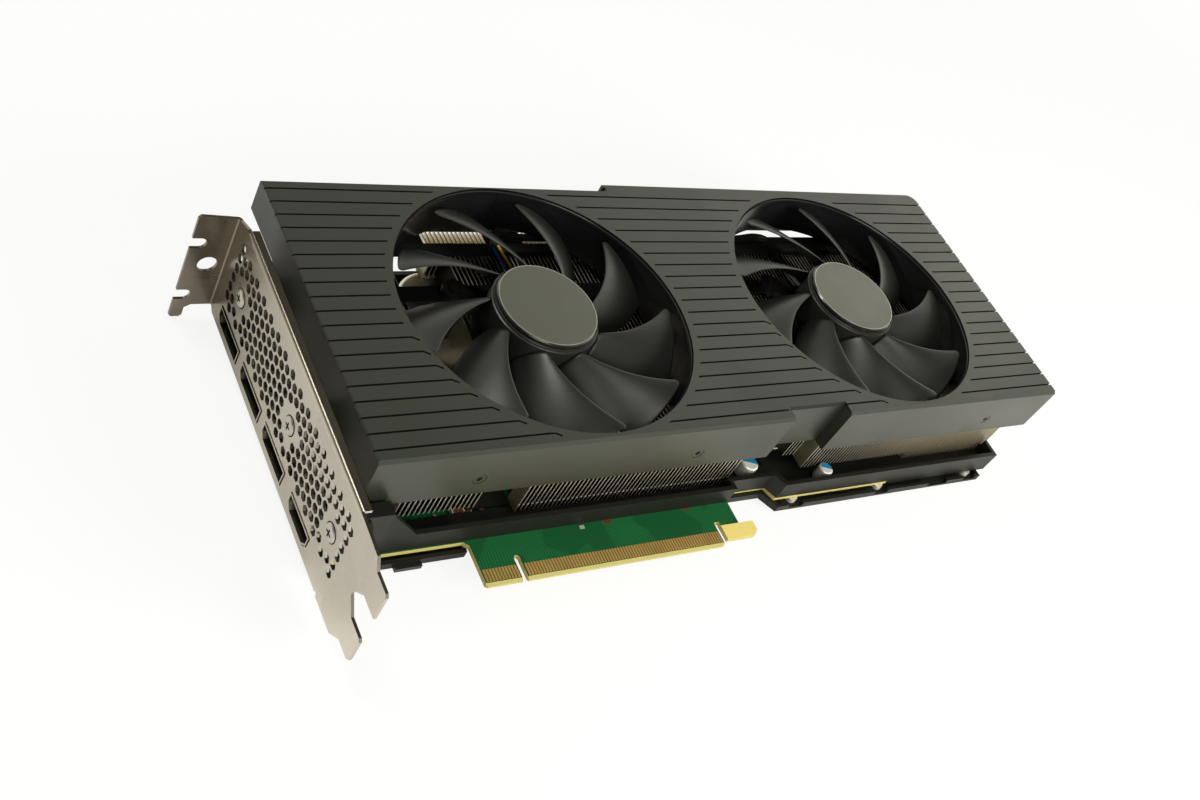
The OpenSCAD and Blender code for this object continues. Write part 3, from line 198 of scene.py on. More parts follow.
share = math_node(tree, "MAXIMUM", math_node(tree, "MULTIPLY", seen, far.outputs[0]), mirrored)
mixed = tree.nodes.new("ShaderNodeMixShader")
tree.links.new(share, mixed.inputs[0])
tree.links.new(plain.outputs[0], mixed.inputs[1])
tree.links.new(glow.outputs[0], mixed.inputs[2])
end = tree.nodes.new("ShaderNodeOutputMaterial")
tree.links.new(mixed.outputs[0], end.inputs["Surface"])
floor_mesh.materials.append(paper)
print("floor at", round(floor_z / MM, 2), "mm")

# %% Lamps
MIDDLE = (0.08, 0.06, 0.02)
LAMP_COLOR = (1, 0.99, 0.9)


def softbox(name, at, aim, size, watts):
    """A square area lamp at one point, facing another, both in metres."""
    data = bpy.data.lights.new(name, "AREA")
    data.shape = "SQUARE"
    data.size = size
    data.energy = watts
    data.color = LAMP_COLOR
    lamp = bpy.data.objects.new(name, data)
    lamp.location = at
    lamp.rotation_euler = (Vector(aim) - Vector(at)).to_track_quat("-Z", "Y").to_euler()
    scene.collection.objects.link(lamp)
    return lamp


softbox("box_behind", (-0.30, 0.52, 0.85), MIDDLE, 0.28, 3.6)
softbox("box_above", (0.19, -0.27, 0.96), MIDDLE, 0.3, 1.5)
softbox("box_front", (0.55, -0.5, 0.32), MIDDLE, 0.45, 8).visible_glossy = False
softbox("box_camera", (-0.35, -0.75, 0.6), MIDDLE, 0.6, 4)
print("lamps:", len(bpy.data.lights))

# %% [markdown]
# ## Shared finishes
# Moulded plastic, paint and plated sheet all have a fine grain and faint handling marks. Both are
# made once as shader groups and placed in each material with its own scale. They put out plain
# values; the shader itself stays in the material.

# %% Shared shader groups


def shader_group(name, inputs, outputs):
    """An empty shader group with named inputs (with defaults) and outputs."""
    group = bpy.data.node_groups.new(name, "ShaderNodeTree")
    for title, kind, default in inputs:
        socket = group.interface.new_socket(title, in_out="INPUT", socket_type=kind)
        if default is not None:
            socket.default_value = default
    for title, kind in outputs:
        group.interface.new_socket(title, in_out="OUTPUT", socket_type=kind)
    return group, group.nodes.new("NodeGroupInput"), group.nodes.new("NodeGroupOutput")


grain_group, start, end = shader_group(
    "fine_grain",
    [("Vector", "NodeSocketVector", None), ("Scale", "NodeSocketFloat", 3000.0)],
    [("Height", "NodeSocketFloat"), ("Mask", "NodeSocketFloat")])
fine = place(grain_group, "ShaderNodeTexNoise", Vector=start.outputs["Vector"], Scale=start.outputs["Scale"],
             Detail=3.0, Roughness=0.6)
speckle = math_node(grain_group, "MULTIPLY_ADD", fine.outputs[0], 2.4, -0.7, clamp=True)
grain_group.links.new(fine.outputs[0], end.inputs["Height"])
grain_group.links.new(speckle, end.inputs["Mask"])

marks_group, start, end = shader_group(
    "handling_marks",
    [("Vector", "NodeSocketVector", None), ("Scale", "NodeSocketFloat", 40.0)],
    [("Mask", "NodeSocketFloat")])
cloud = place(marks_group, "ShaderNodeTexNoise", Vector=start.outputs["Vector"], Scale=start.outputs["Scale"],
              Detail=5.0, Roughness=0.55, Distortion=0.6)
patch = math_node(marks_group, "MULTIPLY_ADD", cloud.outputs[0], 2.2, -0.6, clamp=True)
marks_group.links.new(patch, end.inputs["Mask"])

ring_group, start, end = shader_group(
    "near_radius",
    [("Vector", "NodeSocketVector", None), ("Centre X", "NodeSocketFloat", 0.0),
     ("Centre Y", "NodeSocketFloat", 0.0), ("Radius", "NodeSocketFloat", 0.05),
     ("Width", "NodeSocketFloat", 0.0005)],
    [("Mask", "NodeSocketFloat")])
parts = place(ring_group, "ShaderNodeSeparateXYZ", Vector=start.outputs["Vector"])
dx = math_node(ring_group, "SUBTRACT", parts.outputs[0], start.outputs["Centre X"])
dy = math_node(ring_group, "SUBTRACT", parts.outputs[1], start.outputs["Centre Y"])
square = math_node(ring_group, "MULTIPLY_ADD", dx, dx, math_node(ring_group, "MULTIPLY", dy, dy))
distance = math_node(ring_group, "SQRT", square)
off = math_node(ring_group, "ABSOLUTE", math_node(ring_group, "SUBTRACT", distance, start.outputs["Radius"]))
near = math_node(ring_group, "LESS_THAN", off, start.outputs["Width"])
ring_group.links.new(near, end.inputs["Mask"])
print("shader groups:", [g.name for g in bpy.data.node_groups])

# %% [markdown]
# ## Materials
# Every finish starts from one Principled shader on Object coordinates, so a pattern keeps its real
# size on every piece. A helper places the grain and the marks; each finish then adds what makes it
# itself, such as the worn chamfer of the shroud with its painted highlight, or the cream edge of the board.

# %% Material helpers
MARK_ROUGH, CLEAN_ROUGH, GRAIN_DEPTH = 0.12, -0.04, 0.0002


class Finish:
    """A Principled material with Object coordinates, grain and marks to hand."""

    def __init__(self, name, color, rough, metal=0.0, grain=3000.0, bump=0.05, marks=40.0, spread=0.12,
                 shine=0.5):
        self.material = bpy.data.materials.new(name)
        self.material.use_nodes = True
        self.tree = self.material.node_tree
        self.tree.nodes.clear()
        out = self.tree.nodes.new("ShaderNodeOutputMaterial")
        self.shader = place(self.tree, "ShaderNodeBsdfPrincipled", Metallic=metal, Specular_IOR_Level=shine)
        self.tree.links.new(self.shader.outputs[0], out.inputs["Surface"])
        self.at = self.tree.nodes.new("ShaderNodeTexCoord").outputs["Object"]
        self.grain = self.group(grain_group, Vector=self.at, Scale=grain)
        self.marks = self.group(marks_group, Vector=self.at, Scale=marks)
        base = (*color, 1)
        dark = (*[c * (1 - spread) for c in color], 1)
        self.color = self.mix(self.marks.outputs["Mask"], base, dark)
        self.rough = self.math("MULTIPLY_ADD", self.marks.outputs["Mask"], MARK_ROUGH, rough + CLEAN_ROUGH)
        self.normal = place(self.tree, "ShaderNodeBump", Strength=bump, Distance=GRAIN_DEPTH,
                            Height=self.grain.outputs["Height"]).outputs[0]

    def math(self, operation, a, b=0.5, c=None):
        """A Math node in this material."""
        return math_node(self.tree, operation, a, b, c)

    def group(self, tree, **inputs):
        """Places a shader group, its inputs named as in place()."""
        made = self.tree.nodes.new("ShaderNodeGroup")
        made.node_tree = tree
        for name, value in inputs.items():
            feed(self.tree, made.inputs[name.replace("_", " ")], value)
        return made

    def mix(self, factor, a, b):
        """Colour a where factor is 0 and b where it is 1."""
        made = self.tree.nodes.new("ShaderNodeMix")
        made.data_type = "RGBA"
        for socket, value in ((0, factor), (6, a), (7, b)):
            feed(self.tree, made.inputs[socket], value)
        return made.outputs[2]

    def blend(self, factor, a, b):
        """Number a where factor is 0 and b where it is 1."""
        return self.math("MULTIPLY_ADD", self.math("SUBTRACT", b, a), factor, a)

    def ramp(self, value, low, high):
        """Smooth ramp from 0 at low to 1 at high."""
        made = self.tree.nodes.new("ShaderNodeMapRange")
        made.interpolation_type = "SMOOTHSTEP"
        self.tree.links.new(value, made.inputs[0])
        made.inputs[1].default_value = low
        made.inputs[2].default_value = high
        return made.outputs[0]

    def near(self, circles):
        """1 close to the line of any circle given as (x, y, radius, width) in millimetres."""
        mask = None
        for x, y, radius, width in circles:
            one = self.group(ring_group, Vector=self.at, Centre_X=x * MM, Centre_Y=y * MM, Radius=radius * MM,
                             Width=width * MM).outputs["Mask"]
            mask = one if mask is None else self.math("MAXIMUM", mask, one)
        return mask

    def facing(self):
        """The surface's own direction, as separate X, Y and Z."""
        geometry = self.tree.nodes.new("ShaderNodeNewGeometry")
        return place(self.tree, "ShaderNodeSeparateXYZ", Vector=geometry.outputs["Normal"]).outputs

    def position(self):
        """The place on the card, as separate X, Y and Z."""
        return place(self.tree, "ShaderNodeSeparateXYZ", Vector=self.at).outputs

    def done(self):
        """Joins colour, roughness and normal to the shader."""
        self.tree.links.new(self.color, self.shader.inputs["Base Color"])
        self.tree.links.new(self.rough, self.shader.inputs["Roughness"])
        self.tree.links.new(self.normal, self.shader.inputs["Normal"])
        print(self.material.name, len(self.tree.nodes), "nodes")
        return self.material


# %% [markdown]
# ### Shroud
# The shroud is moulded in charcoal plastic with a fine grain. Its chamfer carries a painted highlight,
# broken by the grain like wear, the insides of its grooves are painted black as shade, and its openings
# are glossy. All this could be painted on an image. The direction and place of the surface already tell
# these parts from each other, so masks in the material need no image.

# %% Shroud: matte charcoal, a painted highlight on the chamfer, painted shade in the grooves
FAN_MM = ((bx(80.65), 67.76), (bx(207.55), 67.76))
OPENING_R, OPENING_BAND = 47.3, 0.9
GROOVE_X, GROOVE_Y, GROOVE_Z = (bx(9.4), bx(275.2)), (19.6, 115.2), (36.0, 36.9)
f = Finish("charcoal_shroud", (0.021, 0.0232, 0.0148), 0.36, grain=2600, bump=0.09, marks=22, spread=0.16,
           shine=0.62)
nx, ny, nz = f.facing()
# Painted highlight on the chamfer, which faces front and up, broken by the grain like wear.
slope = f.math("MULTIPLY", f.math("MULTIPLY", ny, -1.0), nz)
chamfer = f.ramp(slope, 0.2, 0.45)
chamfer_wear_and_highlight = f.math("MULTIPLY", chamfer, f.math("MULTIPLY_ADD", f.grain.outputs["Mask"], 0.5, 0.4))
f.color = f.mix(chamfer_wear_and_highlight, f.color, (0.034, 0.040, 0.031, 1))
inside = f.near([(x, y, OPENING_R, OPENING_BAND) for x, y in FAN_MM])
upright = f.math("LESS_THAN", f.math("ABSOLUTE", nz), 0.3)
inside = f.math("MULTIPLY", inside, upright)
f.color = f.mix(inside, f.color, (0.008, 0.008, 0.009, 1))
f.rough = f.blend(inside, f.rough, 0.2)
px, py, pz = f.position()
# Painted shade: the insides of the grooves are painted near black.
groove_shade = 1.0
for at, (low, high) in ((pz, GROOVE_Z), (px, GROOVE_X), (py, GROOVE_Y)):
    within = f.math("MULTIPLY", f.math("GREATER_THAN", at, low * MM), f.math("LESS_THAN", at, high * MM))
    groove_shade = f.math("MULTIPLY", within, groove_shade)
f.color = f.mix(f.math("MULTIPLY", groove_shade, 0.85), f.color, (0.004, 0.004, 0.004, 1))
shroud_paint = f.done()

# %% [markdown]
# ### Fans and hub caps
# Blades and caps are black mouldings, and each cap has a thin bright line near its rim. The line could
# be a ring of its own, but it has almost no height, so a mask by radius draws it.

# %% Fans and hub caps: satin black moulding
CAP_LINE_R, CAP_LINE_HALF = 15.45, 0.13
blade_plastic = Finish("satin_blade", (0.012, 0.0125, 0.011), 0.36, grain=3600, bump=0.10, marks=60,
                       shine=0.6).done()
f = Finish("hub_disc", (0.052, 0.0545, 0.037), 0.34, grain=3200, bump=0.06, marks=70, spread=0.08, shine=1.0)
rim = f.near([(x, y, CAP_LINE_R, CAP_LINE_HALF) for x, y in FAN_MM])
f.color = f.mix(rim, f.color, (0.26, 0.26, 0.22, 1))
nx, ny, nz = f.facing()
turned = f.math("LESS_THAN", nz, 0.9)
f.color = f.mix(turned, f.color, (0.010, 0.010, 0.009, 1))
f.rough = f.blend(f.math("MAXIMUM", rim, turned), f.rough, 0.2)
cap_finish = f.done()

# %% [markdown]
# ### Metals
# The bracket is plated steel and mirrors the room, so it darkens to its far end and on faces turned
# up. A whole room could be built for it; here two ramps paint that reflection into the colour. The fins
# are bare aluminium. How much light goes between them differs from place to place, so the colour of
# their broad sides is set by place: painted shade deep in the stacks, painted light where light gets in.
# The other metals are even.

# %% Bracket: plated sheet with a painted reflection, darker to the far end and on faces turned up
DARK_FROM, DARK_TO = 40, 110
f = Finish("plated_sheet", (0.62, 0.575, 0.51), 0.24, metal=1.0, grain=1800, bump=0.03, marks=30)
px, py, pz = f.position()
# Painted reflection: the sheet darkens towards its far end, where it mirrors the shaded table.
away = f.math("MULTIPLY", f.ramp(py, DARK_FROM * MM, DARK_TO * MM), 0.8)
f.color = f.mix(away, f.color, (0.22, 0.185, 0.14, 1))
nx, ny, nz = f.facing()
# Painted reflection: faces turned up are darkened.
upward_dark_reflection = f.math("MULTIPLY", f.ramp(nz, 0.6, 0.9), 0.9)
f.color = f.mix(upward_dark_reflection, f.color, (0.10, 0.088, 0.066, 1))
plated_sheet = f.done()

# %% Fins: pale edges, and broad sides painted dark as shade and pale as painted light where light gets in
LEFT_FIN, MIDDLE_FIN, RIGHT_FIN = 23.2, 63.7, 174.1
LIT_X, LIT_Y, FAR_END_Y = (bx(178), bx(225)), (50, 32), (107, 108)
f = Finish("fin_sheet", (0.78, 0.72, 0.60), 0.36, metal=0.8, grain=1600, bump=0.04, marks=35)
nx, ny, nz = f.facing()
broad = f.ramp(f.math("ABSOLUTE", nx), 0.5, 0.8)
px, py, pz = f.position()
# Painted light and shade: broad sides are dark deep in the stacks and pale towards the right and the front.
lit_x = f.ramp(px, LIT_X[0] * MM, LIT_X[1] * MM)
lit_y = f.ramp(py, LIT_Y[0] * MM, LIT_Y[1] * MM)
side = f.mix(f.math("MULTIPLY", lit_x, lit_y), (0.025, 0.022, 0.016, 1), (0.62, 0.55, 0.38, 1))
# Painted light: the first sheet of each stack, with its broad side open, is pale.
for d in (LEFT_FIN, MIDDLE_FIN, RIGHT_FIN):
    away = f.math("ABSOLUTE", f.math("SUBTRACT", px, bx(d) * MM))
    side = f.mix(f.math("LESS_THAN", away, 0.2 * MM), side, (0.5, 0.46, 0.3, 1))
# Painted light: the far ends of the sheets are pale.
lit_far_end = f.ramp(py, FAR_END_Y[0] * MM, FAR_END_Y[1] * MM)
side = f.mix(lit_far_end, side, (0.9, 0.82, 0.66, 1))
f.color = f.mix(broad, f.color, side)
fin_sheet = f.done()

# %% Other metals and ceramics
bare_steel = Finish("bare_steel", (0.56, 0.55, 0.53), 0.34, metal=1.0, grain=2400, bump=0.03, marks=60).done()
pipe_plate = Finish("plated_pipe", (0.74, 0.70, 0.62), 0.26, metal=1.0, grain=2000, bump=0.03, marks=50).done()
screw_steel = Finish("screw_steel", (0.62, 0.60, 0.55), 0.30, metal=1.0, grain=2400, bump=0.03, marks=60).done()
spring_steel = Finish("bright_spring", (0.86, 0.84, 0.78), 0.3, metal=0.6, grain=2400, bump=0.02,
                      marks=80).done()
brown_ceramic = Finish("brown_ceramic", (0.13, 0.045, 0.02), 0.45, grain=3000, bump=0.03, marks=80).done()
magnet_block = Finish("sintered_magnet", (0.05, 0.05, 0.05), 0.5, grain=4000, bump=0.1).done()
core_sheet = Finish("core_sheet", (0.25, 0.25, 0.27), 0.4, metal=1.0, grain=1500, bump=0.05).done()
copper_wire = Finish("enamelled_copper", (0.62, 0.26, 0.11), 0.28, metal=1.0, grain=5000, bump=0.1).done()
bronze_sleeve = Finish("sintered_bronze", (0.56, 0.38, 0.15), 0.4, metal=1.0, grain=4000, bump=0.1).done()

# %% [markdown]
# ### Capacitor cans
# A can is drawn aluminium on a black foot, with half of its lid printed blue. Each colour could be a
# piece of its own. Masks by radius, side and height keep the can whole, and the print isn't metallic.

# %% Capacitor cans: drawn aluminium, half of the lid blue, black foot
CAN_AT = ((152, 24.2, 3.1), (182.6, 18.3, 2.5), (150, 41, 3.1), (157.5, 41, 3.1))  # d, y, radius
CAN_METAL, FOOT_H = 0.4, 1.4
LID_SLANT, LID_RIM, PAST_MIDDLE = 0.4, 0.35, 0.2
f = Finish("drawn_can", (0.90, 0.90, 0.88), 0.34, metal=CAN_METAL, grain=2500, bump=0.03, marks=80)
nx, ny, nz = f.facing()
px, py, pz = f.position()
slant = f.math("MULTIPLY_ADD", px, LID_SLANT, py)
blue = None
for d, y, r in CAN_AT:
    far_half = f.math("GREATER_THAN", slant, (bx(d) * LID_SLANT + y - PAST_MIDDLE) * MM)
    half = f.math("MULTIPLY", f.near([(bx(d), y, 0.0, r - LID_RIM)]), far_half)
    blue = half if blue is None else f.math("MAXIMUM", blue, half)
blue = f.math("MULTIPLY", blue, f.math("GREATER_THAN", nz, 0.9))
foot = f.math("LESS_THAN", pz, FOOT_H * MM)
painted = f.math("MAXIMUM", blue, foot)
f.color = f.mix(blue, f.color, (0.010, 0.17, 0.36, 1))
f.color = f.mix(foot, f.color, (0.02, 0.02, 0.02, 1))
bare = f.math("MULTIPLY", f.math("SUBTRACT", 1.0, painted), CAN_METAL)
f.tree.links.new(bare, f.shader.inputs["Metallic"])
can_sheet = f.done()

# %% [markdown]
# ### Plain finishes
# Paint, plastic, foam, chips, gold and wires are even surfaces. A colour, a roughness and a grain are
# enough for each, so each is one call of the helper.

# %% Plain finishes: paint, plastic, foam, chips, gold and wires
black_paint = Finish("satin_black_paint", (0.011, 0.011, 0.009), 0.44, grain=2400, bump=0.06, marks=26,
                     spread=0.3, shine=0.3).done()
black_plastic = Finish("black_moulding", (0.012, 0.012, 0.012), 0.36, grain=3000, bump=0.08, marks=50).done()
gloss_plastic = Finish("gloss_moulding", (0.008, 0.008, 0.009), 0.20, grain=3000, bump=0.03, marks=50).done()
black_screw = Finish("black_oxide", (0.03, 0.03, 0.03), 0.34, metal=0.6, grain=3500, bump=0.05, marks=90).done()
black_foam = Finish("black_foam", (0.010, 0.010, 0.010), 0.8, grain=2500, bump=0.3, marks=60, shine=0.2).done()
ivory_nylon = Finish("ivory_nylon", (0.74, 0.71, 0.60), 0.35, grain=3000, bump=0.04, marks=60).done()
pad_foam = Finish("gap_pad", (0.42, 0.46, 0.52), 0.7, grain=2200, bump=0.2, marks=90).done()
chip_mould = Finish("chip_moulding", (0.025, 0.025, 0.027), 0.48, grain=4200, bump=0.08, marks=80).done()
substrate = Finish("chip_substrate", (0.03, 0.15, 0.07), 0.35, grain=3000, bump=0.04, marks=80).done()
silicon = Finish("silicon_die", (0.24, 0.24, 0.27), 0.12, metal=0.8, grain=5000, bump=0.01, marks=60).done()
gold_plate = Finish("gold_plate", (0.82, 0.48, 0.15), 0.40, metal=0.5, grain=2600, bump=0.04, marks=120,
                    spread=0.3).done()
WIRE_TONES = {"black": (0.012, 0.012, 0.012), "yellow": (0.62, 0.42, 0.03), "green": (0.02, 0.22, 0.06),
              "blue": (0.02, 0.08, 0.42)}
wire_finish = {tone: Finish(tone + "_insulation", color, 0.38, grain=3000, bump=0.03, marks=90).done()
               for tone, color in WIRE_TONES.items()}

# %% [markdown]
# ### Circuit board
# Green lacquer covers copper tracks and filled areas; the cut edges and the hook show cream laminate,
# with upright faces painted a darker cream than the top, as shade.
# Tracks could be modelled, but they are thinner than paper. Stripes bent by noise and the cells of a
# Voronoi texture look the same from here.

# %% Board: green lacquer over copper tracks, cream laminate at the edges and on the hook
TRACKS_PER_M, TRACK_SHARE = 1150.0, 0.38
BEND_SCALE, BEND_REACH = 60.0, 0.004
POUR_SCALE, POUR_FROM = 95.0, 0.55
COPPER_AT = ((93.8, 15.2, 1.7), (124.1, 15.2, 1.3), (135.4, 15.3, 0.5))  # d, y, radius
HOOK_FROM, HOOK_TOP, BARE_EDGE = bx(133.6), 7.0, 1.0
f = Finish("green_board", (0.008, 0.095, 0.027), 0.42, grain=2600, bump=0.03, marks=55, spread=0.2, shine=0.3)
nx, ny, nz = f.facing()
px, py, pz = f.position()
bend = place(f.tree, "ShaderNodeTexNoise", Vector=f.at, Scale=BEND_SCALE, Detail=1.0).outputs[0]
lane = f.math("ADD", px, f.math("MULTIPLY", bend, BEND_REACH))
lane = f.math("FRACT", f.math("MULTIPLY", lane, TRACKS_PER_M))
track = f.math("LESS_THAN", lane, TRACK_SHARE)
pours = place(f.tree, "ShaderNodeTexVoronoi", Vector=f.at, Scale=POUR_SCALE)
chance = place(f.tree, "ShaderNodeSeparateColor", Color=pours.outputs["Color"]).outputs[0]
pour = f.math("GREATER_THAN", chance, POUR_FROM)
f.color = f.mix(f.math("MULTIPLY", pour, 0.75), f.color, (0.006, 0.070, 0.022, 1))
shown = f.math("MULTIPLY", track, f.math("SUBTRACT", 0.9, f.math("MULTIPLY", pour, 0.6)))
f.color = f.mix(shown, f.color, (0.016, 0.150, 0.048, 1))
copper = f.near([(bx(d), y, 0.0, r) for d, y, r in COPPER_AT])
f.color = f.mix(copper, f.color, (0.10, 0.035, 0.012, 1))
side = f.math("LESS_THAN", f.math("ABSOLUTE", nz), 0.93)
near_edge = f.math("LESS_THAN", py, BARE_EDGE * MM)
hook = f.math("MULTIPLY", f.math("GREATER_THAN", px, HOOK_FROM * MM), f.math("LESS_THAN", py, HOOK_TOP * MM))
cream = f.math("MAXIMUM", side, f.math("MAXIMUM", near_edge, hook))
# Painted shade: upright cut faces take a darker cream than the top and the hook.
f.color = f.mix(cream, f.color, f.mix(side, (0.90, 0.72, 0.23, 1), (0.47, 0.405, 0.15, 1)))
f.rough = f.blend(cream, f.rough, 0.55)
board_finish = f.done()
print("materials:", len(bpy.data.materials))

# %% [markdown]
# ## Dress the solids
# A solid whose shape is right keeps its mesh and only takes a finish. The table below says which
# finish goes on which node; the fan pieces repeat for both fans. Impellers, leads, bracket screws and
# fin stacks aren't in it, because finer pieces replace them further on.

# %% Finishes by node
FINISH_OF = {
    "shroud": shroud_paint, "shroud_clips": plated_sheet, "shroud_screws": shroud_paint,
    "fan_screws": black_screw, "motor_screws": black_screw, "air_seals": black_foam,
    "fan_plugs": ivory_nylon, "fan_headers": ivory_nylon, "heat_pipes": pipe_plate, "cold_plate": pipe_plate,
    "mid_frame": black_paint, "circuit_board": board_finish, "edge_contacts": gold_plate,
    "graphics_chip": substrate, "graphics_die": silicon, "memory_chips": chip_mould, "thermal_pads": pad_foam,
    "power_chokes": chip_mould, "power_stages": chip_mould, "can_capacitors": can_sheet,
    "backplate": black_paint, "backplate_screws": black_screw, "standoffs": spring_steel,
    "spring_plate": bare_steel, "spring_screws": bare_steel, "io_bracket": plated_sheet,
    "displayport_shells": plated_sheet, "hdmi_shell": plated_sheet, "socket_tongues": black_plastic,
    "power_sockets": black_plastic, "power_pins": gold_plate}
for k in "12":
    FINISH_OF.update({
        "hub_cap_" + k: cap_finish, "rotor_yoke_" + k: bare_steel, "rotor_magnet_" + k: magnet_block,
        "fan_shaft_" + k: bare_steel, "fan_frame_" + k: gloss_plastic, "motor_base_" + k: black_plastic,
        "shaft_bearing_" + k: bronze_sleeve, "stator_" + k: core_sheet, "stator_coils_" + k: copper_wire,
        "motor_board_" + k: board_finish})
for name, material in FINISH_OF.items():
    if not nodes[name].material_slots:
        nodes[name].data.materials.append(material)
    for entry in nodes[name].material_slots:
        entry.material = material
print("dressed", len(FINISH_OF), "nodes")

# %% [markdown]
# ## Fan blades
# A moulded axial blade is a thin curved sheet with a rounded edge all round. Its shape follows a
# rule, so Geometry Nodes bend a flat grid into it: one grid direction runs from hub to tip, the other
# goes round the section, from the leading edge over the top to the trailing edge and back below. The
# tree then sets nine of them round the hub.

# %% Geometry node helpers


def geometry_tree(name, sizes):
    """A geometry tree with one Geometry output and named inputs: (title, socket kind, default)."""
    tree = bpy.data.node_groups.new(name, "GeometryNodeTree")
    keys = {}
    for title, kind, default in sizes:
        socket = tree.interface.new_socket(title, in_out="INPUT", socket_type=kind)
        if default is not None:
            socket.default_value = default
        keys[title] = socket.identifier
    tree.interface.new_socket("Geometry", in_out="OUTPUT", socket_type="NodeSocketGeometry")
    return tree, tree.nodes.new("NodeGroupInput").outputs, tree.nodes.new("NodeGroupOutput"), keys


def finish_tree(tree, end, geometry, material, smooth=True):
    """Realizes, shades and paints the result, as every tree here ends."""
    real = place(tree, "GeometryNodeRealizeInstances", Geometry=geometry).outputs[0]
    shade = tree.nodes.new("GeometryNodeSetShadeSmooth")
    tree.links.new(real, shade.inputs["Geometry"])
    shade.inputs["Shade Smooth"].default_value = smooth
    paint = place(tree, "GeometryNodeSetMaterial", Geometry=shade.outputs[0], Material=material)
    tree.links.new(paint.outputs[0], end.inputs["Geometry"])


def grow(name, tree, keys, values, seed=None):
    """Runs a tree on a seed mesh, or an empty one, and keeps the result as a plain mesh object."""
    seed = seed or bpy.data.meshes.new(name + "_seed")
    holder = bpy.data.objects.new(name, seed)
    scene.collection.objects.link(holder)
    modifier = holder.modifiers.new(name, "NODES")
    modifier.node_group = tree
    for title, value in values.items():
        modifier[keys[title]] = value
    graph = bpy.context.evaluated_depsgraph_get()
    mesh = bpy.data.meshes.new_from_object(holder.evaluated_get(graph), depsgraph=graph)
    mesh.name = name
    holder.modifiers.clear()
    holder.data = mesh
    bpy.data.meshes.remove(seed)
    print(name, len(mesh.polygons), "faces")
    return holder


# %% Blade tree
FLOAT, INT, VEC = "NodeSocketFloat", "NodeSocketInt", "NodeSocketVector"
tree, size, end, blade_keys = geometry_tree("swept_blades", [
    ("Blades", INT, 9), ("Hub radius", FLOAT, 0.0165), ("Tip radius", FLOAT, 0.045), ("Top", FLOAT, 0.0344),
    ("Drop", FLOAT, 0.0092), ("Sweep", FLOAT, math.radians(37)), ("Root chord", FLOAT, math.radians(26)),
    ("Tip chord", FLOAT, math.radians(29)), ("Half thickness", FLOAT, 0.0006), ("Turn", FLOAT, 0.0),
    ("Centre", VEC, None)])


def m(op, a, b=0.5, c=None, clamp=False):
    """A Math node in the blade tree."""
    return math_node(tree, op, a, b, c, clamp)


BLADE_ROWS, SECTION_POINTS = 26, 33
TIP_CROWDING, SWEEP_POWER = 1.5, 0.75
CORNER_FROM, CORNER_TURN = 0.92, 0.06
TIP_ROUND, ROOT_ROUND = 0.03, 0.02
FALL_START, FALL_MORE = 0.45, 0.55
WELD = 0.00001
grid = place(tree, "GeometryNodeMeshGrid", Size_X=1.0, Size_Y=1.0, Vertices_X=BLADE_ROWS,
             Vertices_Y=SECTION_POINTS)
where = tree.nodes.new("GeometryNodeInputPosition").outputs[0]
where = place(tree, "ShaderNodeSeparateXYZ", Vector=where).outputs
along = m("ADD", where[0], 0.5)
round_ = m("MULTIPLY", m("ADD", where[1], 0.5), TAU)
u = m("SUBTRACT", 1.0, m("POWER", m("SUBTRACT", 1.0, along, clamp=True), TIP_CROWDING))
chord_s = m("MULTIPLY", m("SUBTRACT", 1.0, m("COSINE", round_)), 0.5)
radius = m("MULTIPLY_ADD", m("SUBTRACT", size["Tip radius"], size["Hub radius"]), u, size["Hub radius"])
lead = m("MULTIPLY", m("SUBTRACT", m("POWER", u, SWEEP_POWER), 1.0), size["Sweep"])
chord = m("MULTIPLY_ADD", m("SUBTRACT", size["Tip chord"], size["Root chord"]), u, size["Root chord"])
corner = m("DIVIDE", m("SUBTRACT", u, CORNER_FROM), 1.0 - CORNER_FROM, clamp=True)
corner = m("SUBTRACT", 1.0, m("SQRT", m("SUBTRACT", 1.0, m("MULTIPLY", corner, corner), clamp=True)))
lead = m("SUBTRACT", lead, m("MULTIPLY", corner, CORNER_TURN))
chord = m("SUBTRACT", chord, m("MULTIPLY", corner, CORNER_TURN))
angle = m("SUBTRACT", lead, m("MULTIPLY", chord, chord_s))
fall = m("MULTIPLY_ADD", chord_s, FALL_MORE, FALL_START)
level = m("SUBTRACT", size["Top"], m("MULTIPLY", m("MULTIPLY", fall, chord_s), size["Drop"]))
tip = m("DIVIDE", m("SUBTRACT", u, 1.0 - TIP_ROUND), TIP_ROUND, clamp=True)
root = m("DIVIDE", m("SUBTRACT", ROOT_ROUND, u), ROOT_ROUND, clamp=True)
taper = m("SQRT", m("SUBTRACT", 1.0, m("ADD", m("MULTIPLY", tip, tip), m("MULTIPLY", root, root)), clamp=True))
skin = m("MULTIPLY", m("MULTIPLY", m("SINE", round_), size["Half thickness"]), taper)
bent = place(tree, "ShaderNodeCombineXYZ", X=m("MULTIPLY", radius, m("COSINE", angle)),
             Y=m("MULTIPLY", radius, m("SINE", angle)), Z=m("ADD", level, skin))
blade = place(tree, "GeometryNodeSetPosition", Geometry=grid.outputs[0], Position=bent.outputs[0])
blade = place(tree, "GeometryNodeMergeByDistance", Geometry=blade.outputs[0], Distance=WELD)
spots = place(tree, "GeometryNodeMeshLine", Count=size["Blades"], Offset=(0, 0, 0))
index = tree.nodes.new("GeometryNodeInputIndex").outputs[0]
share = m("MULTIPLY_ADD", index, m("DIVIDE", TAU, size["Blades"]), size["Turn"])
spin = place(tree, "FunctionNodeEulerToRotation", Euler=place(tree, "ShaderNodeCombineXYZ", Z=share).outputs[0])
ring = place(tree, "GeometryNodeInstanceOnPoints", Points=spots.outputs[0], Instance=blade.outputs[0],
             Rotation=spin.outputs[0])
